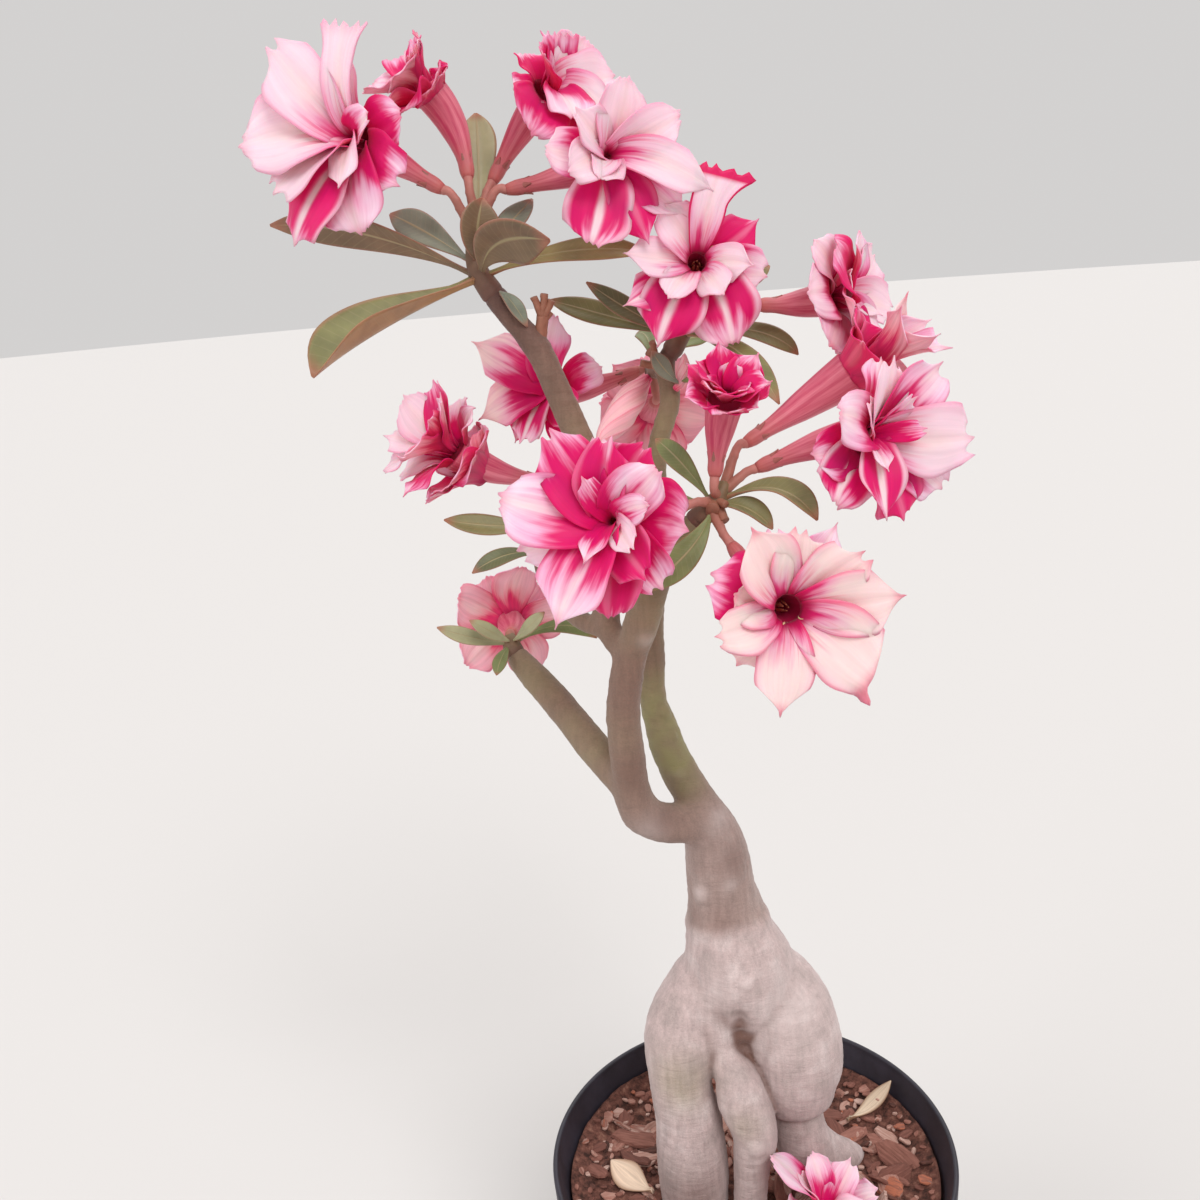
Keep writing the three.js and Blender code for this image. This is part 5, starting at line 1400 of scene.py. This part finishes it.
def add_sepals(draft, draw, bloom):
    centres = bloom.tube([0.05, 0.12])
    along = unit(centres[1] - centres[0])
    first = unit(np.cross(along, (0.2, 0.1, 1)))
    second = np.cross(along, first)
    for index in range(SEPALS):
        turn = 2 * math.pi * (index + draw.uniform(-0.12, 0.12)) / SEPALS
        outward = first * math.cos(turn) + second * math.sin(turn)
        add_blade(draft, centres[0] + outward * (CALYX_RADIUS - 0.5), along, outward,
                  SEPAL_LENGTH * draw.uniform(0.85, 1.1), SEPAL_WIDTH,
                  draw.uniform(0.1, 0.22), SEPAL_COLOURS[index % 2])


def add_throat_scales(draft, draw, bloom):
    for index in range(THROAT_SCALES):
        turn = 2 * math.pi * (index + draw.uniform(-0.3, 0.3)) / THROAT_SCALES
        outward = bloom.sideways(turn)
        add_blade(draft, bloom.centre + outward * 5.6 - bloom.out * 1.5,
                  unit(bloom.out + 0.5 * outward), outward, draw.uniform(3, 5), 3,
                  draw.uniform(0.1, 0.6), SCALE_CREAM)
    for turn in angles_round(ANTHERS):
        outward = bloom.sideways(turn)
        add_blade(draft, bloom.centre + outward * 2.4 - bloom.out * 11,
                  unit(bloom.out - 0.2 * outward), outward, 8, 1.5, 0.05, ANTHER)


def petal_look(name, pale, pink, deep, veining):
    """Satin petal: thin crimson streaks run out of the throat into a pale blade that is
    creamy inside and pink at its edge, or the whole blade is crimson with pale stripes. The
    back is duller and shows its veins."""
    look = new_look(name)
    place = add(look, "Attribute", {"attribute_name": "place"}).outputs["Vector"]
    spot = add(look, "SeparateXYZ", {"Vector": place}).outputs
    finish = add(look, "Attribute", {"attribute_name": "finish"}).outputs
    looks = add(look, "SeparateColor", {"Color": finish["Color"]}).outputs
    along = spot["Y"]
    edge = add(look, "Math", {"operation": "ABSOLUTE", 0: spot["X"]})
    noises = []
    for scale in ((1.5, 1.1, 3.7), (7, 0.8, 5.1)):
        stretch = add(look, "Mapping", {"Vector": place, "Scale": scale})
        noises.append(add(look, "TexNoise", {"Vector": stretch, "Scale": 1.0, "Detail": 3,
                                             "Roughness": 0.55}))
    broad, streak = noises
    # The two noises move the edge of the colour out and in.
    uneven = add(look, "Math", {"operation": "ADD", 0: broad, 1: along})
    uneven = add(look, "Math", {"operation": "MULTIPLY_ADD", 0: streak, 1: 0.4, 2: uneven})
    masks = []
    for near, far in ((0.58, 0.84), (0.62, 1.08)):
        start = add(look, "Math", {"operation": "ADD", 0: looks["Red"], 1: near})
        stop = add(look, "Math", {"operation": "ADD", 0: looks["Red"], 1: far})
        masks.append(add(look, "MapRange", {**SMOOTH, "Value": uneven, "From Min": start,
                                            "From Max": stop, "To Min": 1.0, "To Max": 0.0}))
    # Striped petals are clear of the colour along the middle and at the edge.
    wavy = add(look, "Math", {"operation": "MULTIPLY_ADD", 0: broad, 1: 0.3, 2: edge})
    middle = add(look, "MapRange", {**SMOOTH, "Value": wavy, "span": (0.19, 0.38, 1, 0)})
    outside = add(look, "MapRange", {**SMOOTH, "Value": wavy, "span": (0.86, 1.1, 0, 1)})
    stripe = add(look, "Math", {"operation": "MAXIMUM", 0: middle, 1: outside})
    stripe = add(look, "Math", {"operation": "MULTIPLY", 0: stripe, 1: looks["Green"]})
    far_enough = add(look, "MapRange", {**SMOOTH, "Value": along, "span": (0.12, 0.4, 0, 1)})
    stripe = add(look, "Math", {"operation": "MULTIPLY", 0: stripe, 1: far_enough})
    kept = add(look, "Math", {"operation": "SUBTRACT", 0: 1.0, 1: stripe})
    crimson, blush = (add(look, "Math", {"operation": "MULTIPLY", 0: mask, 1: kept})
                      for mask in masks)
    blush = add(look, "Math", {"operation": "MULTIPLY", 0: blush, 1: 0.8})
    # Cream lies in the middle of the blade, at most where the petal is a creamy one.
    inward = add(look, "Math", {"operation": "MULTIPLY_ADD", 0: along, 1: 0.7, 2: edge})
    glow = add(look, "MapRange", {**SMOOTH, "Value": inward, "span": (0.3, 1.2, 0.6, 0)})
    cream = add(look, "Math", {"operation": "MAXIMUM", 0: glow, 1: looks["Blue"]})
    # Thin lines that run out of the throat.
    drawn = add(look, "MapRange", {"Value": streak, "span": (0.5, 0.64, 0, 0.7)})
    short = add(look, "MapRange", {**SMOOTH, "Value": along, "span": (0.2, 0.62, 1, 0)})
    lines = add(look, "Math", {"operation": "MULTIPLY", 0: drawn, 1: short})
    margin = add(look, "MapRange", {**SMOOTH, "Value": edge, "span": (0.6, 1.02, 0, 0.26)})
    fringe = add(look, "Math", {"operation": "MAXIMUM", 0: edge, 1: along})
    fringe = add(look, "MapRange", {**SMOOTH, "Value": fringe, "span": (0.86, 1.04, 0, 1)})
    fringe = add(look, "Math", {"operation": "MULTIPLY", 0: fringe, 1: finish["Alpha"]})
    throat = add(look, "MapRange", {**SMOOTH, "Value": along, "span": (0.02, 0.2, 1, 0)})
    colour = add(look, "Mix", {**MIX, "Factor": cream, 6: pale, 7: PETAL_CREAM})
    for share, tint in ((margin, pink), (blush, pink), (lines, deep), (crimson, deep),
                        (throat, PETAL_THROAT), (fringe, PETAL_FRINGE)):
        colour = add(look, "Mix", {**MIX, "Factor": share, 6: colour, 7: tint})
    veins = add(look, "MapRange", {"Value": streak, "span": (0.35, 0.65, 1 - veining, 1.02)})
    colour = add(look, "Mix", {**TIMES, 6: colour, 7: veins})
    relief = add(look, "Bump", {"Height": streak, "Strength": 0.2, "Distance": 0.0004})
    return surfaced(look, {
        "Base Color": colour, "Roughness": 0.52, "Specular IOR Level": 0.25, "Sheen Weight": 0.06,
        "Subsurface Weight": 0.3, "Subsurface Radius": (1.0, 0.3, 0.45),
        "Subsurface Scale": 0.004, "Normal": relief})


def corolla_tube():
    # Fleshy rose-coloured tube with pale streaks along it, dull red-green at its foot, and
    # dark red down the throat.
    look = new_look("corolla_tube")
    spot = add(look, "Attribute", {"attribute_name": "place"}).outputs["Vector"]
    spot = add(look, "SeparateXYZ", {"Vector": spot}).outputs
    ring = add(look, "CombineXYZ", {"X": add(look, "Math", {"operation": "SINE", 0: spot["X"]}),
                                    "Y": add(look, "Math", {"operation": "COSINE", 0: spot["X"]}),
                                    "Z": spot["Y"]})
    stretch = add(look, "Mapping", {"Vector": ring, "Scale": (3.2, 3.2, 1.1)})
    streaks = add(look, "TexNoise", {"Vector": stretch, "Scale": 1.0, "Detail": 4,
                                     "Roughness": 0.6})
    rose = add(look, "ValToRGB", {"Fac": streaks, "stops": [(0.36, TUBE_ROSE), (0.66, TUBE_PALE)]})
    foot = add(look, "MapRange", {"Value": spot["Y"], "span": (0.02, 0.4, 0.8, 0)})
    lower = add(look, "Mix", {**MIX, "Factor": foot, 6: rose, 7: TUBE_BASE})
    inside = add(look, "MapRange", {"Value": spot["Y"], "span": (1, 1.1, 0, 1)})
    depth = add(look, "MapRange", {"Value": spot["Y"], "span": (1.1, 1.7, 0, 1)})
    throat = add(look, "Mix", {**MIX, "Factor": depth, 6: PETAL_THROAT,
                               7: THROAT_DEEP})
    colour = add(look, "Mix", {**MIX, "Factor": inside, 6: lower, 7: throat})
    place = add(look, "TexCoord").outputs["Object"]
    fuzz = add(look, "TexNoise", {"Vector": place, "Scale": per_metre(TUBE_FUZZ), "Detail": 4})
    relief = add(look, "Bump", {"Height": fuzz, "Strength": 0.25, "Distance": 0.0003})
    return surfaced(look, {
        "Base Color": colour, "Roughness": 0.5, "Specular IOR Level": 0.35, "Sheen Weight": 0.05,
        "Subsurface Weight": 0.15, "Subsurface Radius": (1.0, 0.4, 0.4),
        "Subsurface Scale": 0.003, "Normal": relief})


petal_inside = petal_look("petal_inside", PETAL_PALE, PETAL_PINK, PETAL_CRIMSON, 0.07)
petal_outside = petal_look("petal_outside", PETAL_BACK, PETAL_BACK_PINK, PETAL_BACK_DEEP, 0.154)
tube_skin = corolla_tube()
for name, whorls in BLOOM_PETALS.items():
    draw = random.Random(name)
    bloom = BloomFrame(*BLOOM_SEATS[name])
    flower = Draft()
    flare = FLARED.get(name, 0)
    add_tube(flower, bloom, flare)
    roots = (OTHER_INNER_ROOTS.get(name, INNER_ROOT), OUTER_ROOT, BELL_ROOT)
    for petals, (radius, *others) in zip(whorls, roots):
        for petal in petals:
            add_petal(flower, draw, bloom, *petal, (radius * (1 + flare), *others))
    add_sepals(flower, draw, bloom)
    if name in OPEN_THROATS:
        add_throat_scales(flower, draw, bloom)
    finished_piece(flower, name + ".petals", [petal_inside, petal_outside, tube_skin, stem_skin],
                   [name])

# ------------------------------------------------------------------ closed bud
# A corolla that hasn't opened: its five petals are rolled round each other into a twisted
# spindle with a fine point, rose-red outside with paler edges.

LARGE_BUD = [
    (-28.25, 50, 544.05, 1.9), (-31, 48.5, 542, 3.4), (-36, 41, 536.5, 6.2),
    (-41, 31, 530.5, 6.6), (-45, 24, 526, 5.4), (-48.5, 18, 523, 3.2), (-50, 15.5, 521.5, 1),
]
BUD_TWIST = 2.4  # radians, from the foot of the rolled petals to their tip
BUD_RIDGE = 0.09  # of the radius, how far the edge of a rolled petal stands up
BUD_STALK = 0.1  # share of the bud's length that is stalk and tube
BUD_SIDES = 80
BUD_EDGE = 0.82  # share of a rolled petal before its outer edge falls off
BUD_PETALS = 5


def add_bud(draft, stations):
    points, faces, path = limb(stations, BUD_SIDES, 0.7, end_dome=1.5)
    body = points[:-2].reshape(len(path), BUD_SIDES, 3)
    share = np.linspace(0, 1, len(path))[:, None]
    rolled = np.clip((share - BUD_STALK) / (1 - BUD_STALK), 0, 1)
    turn = angles_round(BUD_SIDES)[None, :] - BUD_TWIST * rolled
    saw = (turn * BUD_PETALS / (2 * math.pi)) % 1
    ridge = np.minimum(saw / BUD_EDGE, (1 - saw) / (1 - BUD_EDGE))
    ridged = 1 + BUD_RIDGE * (ridge - 0.5) * np.minimum(rolled * 4, 1)
    centres = path[:, None, :3]
    points[:-2] = (centres + (body - centres) * ridged[..., None]).reshape(-1, 3)
    place = np.vstack([place_on(ridge, 0.3 + 0.6 * share, 0), (0, 0.3, 0), (0, 0.9, 0)])
    draft.join(points, faces, 0, place, PETAL_FINISHES["faded"])


bud = Draft()
add_bud(bud, LARGE_BUD)
finished_piece(bud, "bud_large.rolled", [petal_outside], ["bud_large"])

# ------------------------------------------------------------------ small shoot
# A side shoot of the back branch with one small bud and two young leaves.

SMALL_BUD = [(-16.2, 32.6, 540, 1.6), (-13.6, 31, 543, 2), (-12, 30.5, 549, 2.8),
             (-11.5, 31, 554, 1)]
SHOOT_LEAVES = [
    ((-14.5, 31.5, 542), (-20, 24, 549), (-25, 20, 558), 8, (0.2, -1, 0.4), 0.3, "grey"),
    ((-14, 31, 543), (-6, 24, 546), (1, 20, 551), 8, (0.2, -1, 0.6), 0.3, "fresh"),
]

shoot = Draft()
add_bud(shoot, SMALL_BUD)
draw = random.Random(5)
for leaf in SHOOT_LEAVES:
    leaf_blade(shoot, draw, *leaf)
finished_piece(shoot, "shoot_with_bud.grown", [petal_outside, leaf_skin],
               ["shoot_with_bud"])

# ------------------------------------------------------------------ fallen bloom
# A faded bloom that dropped off and lies face up on the potting mix, limp and paler.

FALLEN_BASE = (34, -32, 148)
FALLEN_THROAT = (34, -32, 153.5)
FALLEN_FACE = (0.05, -0.1, 1)
FALLEN_INNER_ROOT = (3, 2, 78, 0.25)
FALLEN_OUTER_ROOT = (5, 2, 60, 0.25)
FALLEN_PETALS = (
    [(150, 26, 18, 50, "rosy", "round"), (90, 15, 15, 60, "rosy", "round"),
     (20, 19, 14, 46, "rosy", "torn"), (-60, 19, 14, 44, "pale", "round"),
     (-140, 17, 14, 50, "rosy", "round"), (130, 14, 12, 58, "pale", "torn")],
    [(60, 22, 15, 30, "rosy", "round"), (-20, 24, 16, 28, "rosy", "torn"),
     (-100, 23, 16, 28, "pale", "round"), (168, 20, 14, 34, "rosy", "round")],
)
FALLEN_CORE = [(34, -32, 147.4, 3.4), (34, -32, 150, 5.2), (34, -32, 153.5, 5.6)]

fallen = Draft()
draw = random.Random(9)
bloom = BloomFrame(FALLEN_BASE, FALLEN_THROAT, FALLEN_FACE)
points, faces, _ = limb(FALLEN_CORE, 20, 1, end_dome=0.5)
fallen.join(points, faces, TUBE_SLOT)
for petals, root in zip(FALLEN_PETALS, (FALLEN_INNER_ROOT, FALLEN_OUTER_ROOT)):
    for petal in petals:
        add_petal(fallen, draw, bloom, *petal, root)
finished_piece(fallen, "fallen_bloom.petals", [petal_inside, petal_outside, tube_skin],
               ["fallen_bloom"])

# ------------------------------------------------------------------ dry leaf, fallen petal
# A dead leaf, dried to a cream-coloured curl, and a spent petal on its way there. Both rest
# on the chips.

DRY_LEAF = ((52, 36, 150), (64, 46, 149), (77, 54, 159), 8, (0.2, -0.4, 1), 0.6, "dry")
SPENT_PETAL = ((-50, -14, 150), (-60, -6, 148), (-72, 3, 153), 15, (0, -0.3, 1), 0.35, "spent")
DRIED_BROWN = "#8a5f43"


def dried_tissue():
    # Papery: cream with brown veins and edges, matt, and wrinkled along its length.
    look = new_look("dried_tissue")
    finish = add(look, "Attribute", {"attribute_name": "finish"}).outputs["Color"]
    place = add(look, "Attribute", {"attribute_name": "place"}).outputs["Vector"]
    across = add(look, "SeparateXYZ", {"Vector": place}).outputs["X"]
    stretch = add(look, "Mapping", {"Vector": place, "Scale": (6, 1.5, 1)})
    wrinkles = add(look, "TexNoise", {"Vector": stretch, "Scale": 1.0, "Detail": 5,
                                      "Roughness": 0.6})
    edge = add(look, "Math", {"operation": "ABSOLUTE", 0: across})
    edge = add(look, "Math", {"operation": "MULTIPLY_ADD", 0: wrinkles, 1: 0.6, 2: edge})
    browned = add(look, "MapRange", {**SMOOTH, "Value": edge, "span": (0.9, 1.35, 0, 0.8)})
    level = add(look, "MapRange", {"Value": wrinkles, "span": (0.35, 0.65, 0.82, 1.08)})
    colour = add(look, "Mix", {**TIMES, 6: finish, 7: level})
    colour = add(look, "Mix", {**MIX, "Factor": browned, 6: colour, 7: DRIED_BROWN})
    relief = add(look, "Bump", {"Height": wrinkles, "Strength": 0.5, "Distance": 0.0005})
    return surfaced(look, {"Base Color": colour, "Roughness": 0.7, "Specular IOR Level": 0.3,
                           "Normal": relief})


dried = dried_tissue()
draw = random.Random(12)
for name, leaf, slot_name in (("dry_leaf", DRY_LEAF, "dried_leaf"),
                              ("fallen_petal", SPENT_PETAL, "petals")):
    piece = Draft()
    leaf_blade(piece, draw, *leaf)
    finished_piece(piece, name + ".curled", [dried, dried], [name])

# ------------------------------------------------------------------ floor, light and camera
# A plain pale floor, even soft studio light, and a camera with a wide lens two hands from the
# flowers, tipped down and turned a little.

CAMERA_PLACE = (0, -485.3, 600.4)
CAMERA_PITCH = 16.6
CAMERA_YAW = 6.3
CAMERA_ROLL = -4.7
CAMERA_LENS = 35
CAMERA_SENSOR = 36
FLOOR_RADIUS = 14000
FLOOR_SEGMENTS = 64
FLOOR_PALE = "#d3d0ce"
STUDIO_PALE = "#e9e7e6"
STUDIO_STRENGTH = 0.8
# Distant soft lights, so that the floor is lit evenly: name, place, aim, degrees across,
# strength.
SOFT_LIGHTS = [
    ("key", (1500, -2700, 3600), (-20, 0, 430), 31, 1.5),
    ("fill", (-3400, -2000, 2600), (-20, 0, 400), 41, 0.76),
    ("back", (700, 2400, 4200), (-20, 0, 400), 37, 0.8),
]

floor_mesh = bpy.data.meshes.new("floor")
floor_mesh.from_pydata((turned([(FLOOR_RADIUS, 0)], FLOOR_SEGMENTS) * MM).tolist(), [],
                       [tuple(range(FLOOR_SEGMENTS))])
floor_mesh.materials.append(surfaced(new_look("studio_paper"), {
    "Base Color": FLOOR_PALE, "Roughness": 0.9}))
floor_object = placed("floor", floor_mesh)

world = bpy.data.worlds.new("studio")
bpy.context.scene.world = world
world.use_nodes = True
backdrop = world.node_tree.nodes["Background"]
backdrop.inputs["Color"].default_value = linear(STUDIO_PALE)
backdrop.inputs["Strength"].default_value = STUDIO_STRENGTH

for name, place, aim, across, strength in SOFT_LIGHTS:
    light = bpy.data.lights.new(name, "SUN")
    light.angle = math.radians(across)
    light.energy = strength
    lamp = placed(name, light)
    lamp.location = Vector(place) * MM
    lamp.rotation_euler = (Vector(place) - Vector(aim)).to_track_quat("Z", "Y").to_euler()

camera_data = bpy.data.cameras.new("camera")
camera_data.lens = CAMERA_LENS
camera_data.sensor_width = CAMERA_SENSOR
camera_data.clip_start = 0.01
camera = placed("camera", camera_data)
camera.matrix_world = (
    Matrix.Translation(Vector(CAMERA_PLACE) * MM)
    @ Matrix.Rotation(math.radians(CAMERA_YAW), 4, "Z")
    @ Matrix.Rotation(math.radians(90 - CAMERA_PITCH), 4, "X")
    @ Matrix.Rotation(math.radians(CAMERA_ROLL), 4, "Z")
)
bpy.context.scene.camera = camera
bpy.context.scene.view_settings.view_transform = "Standard"
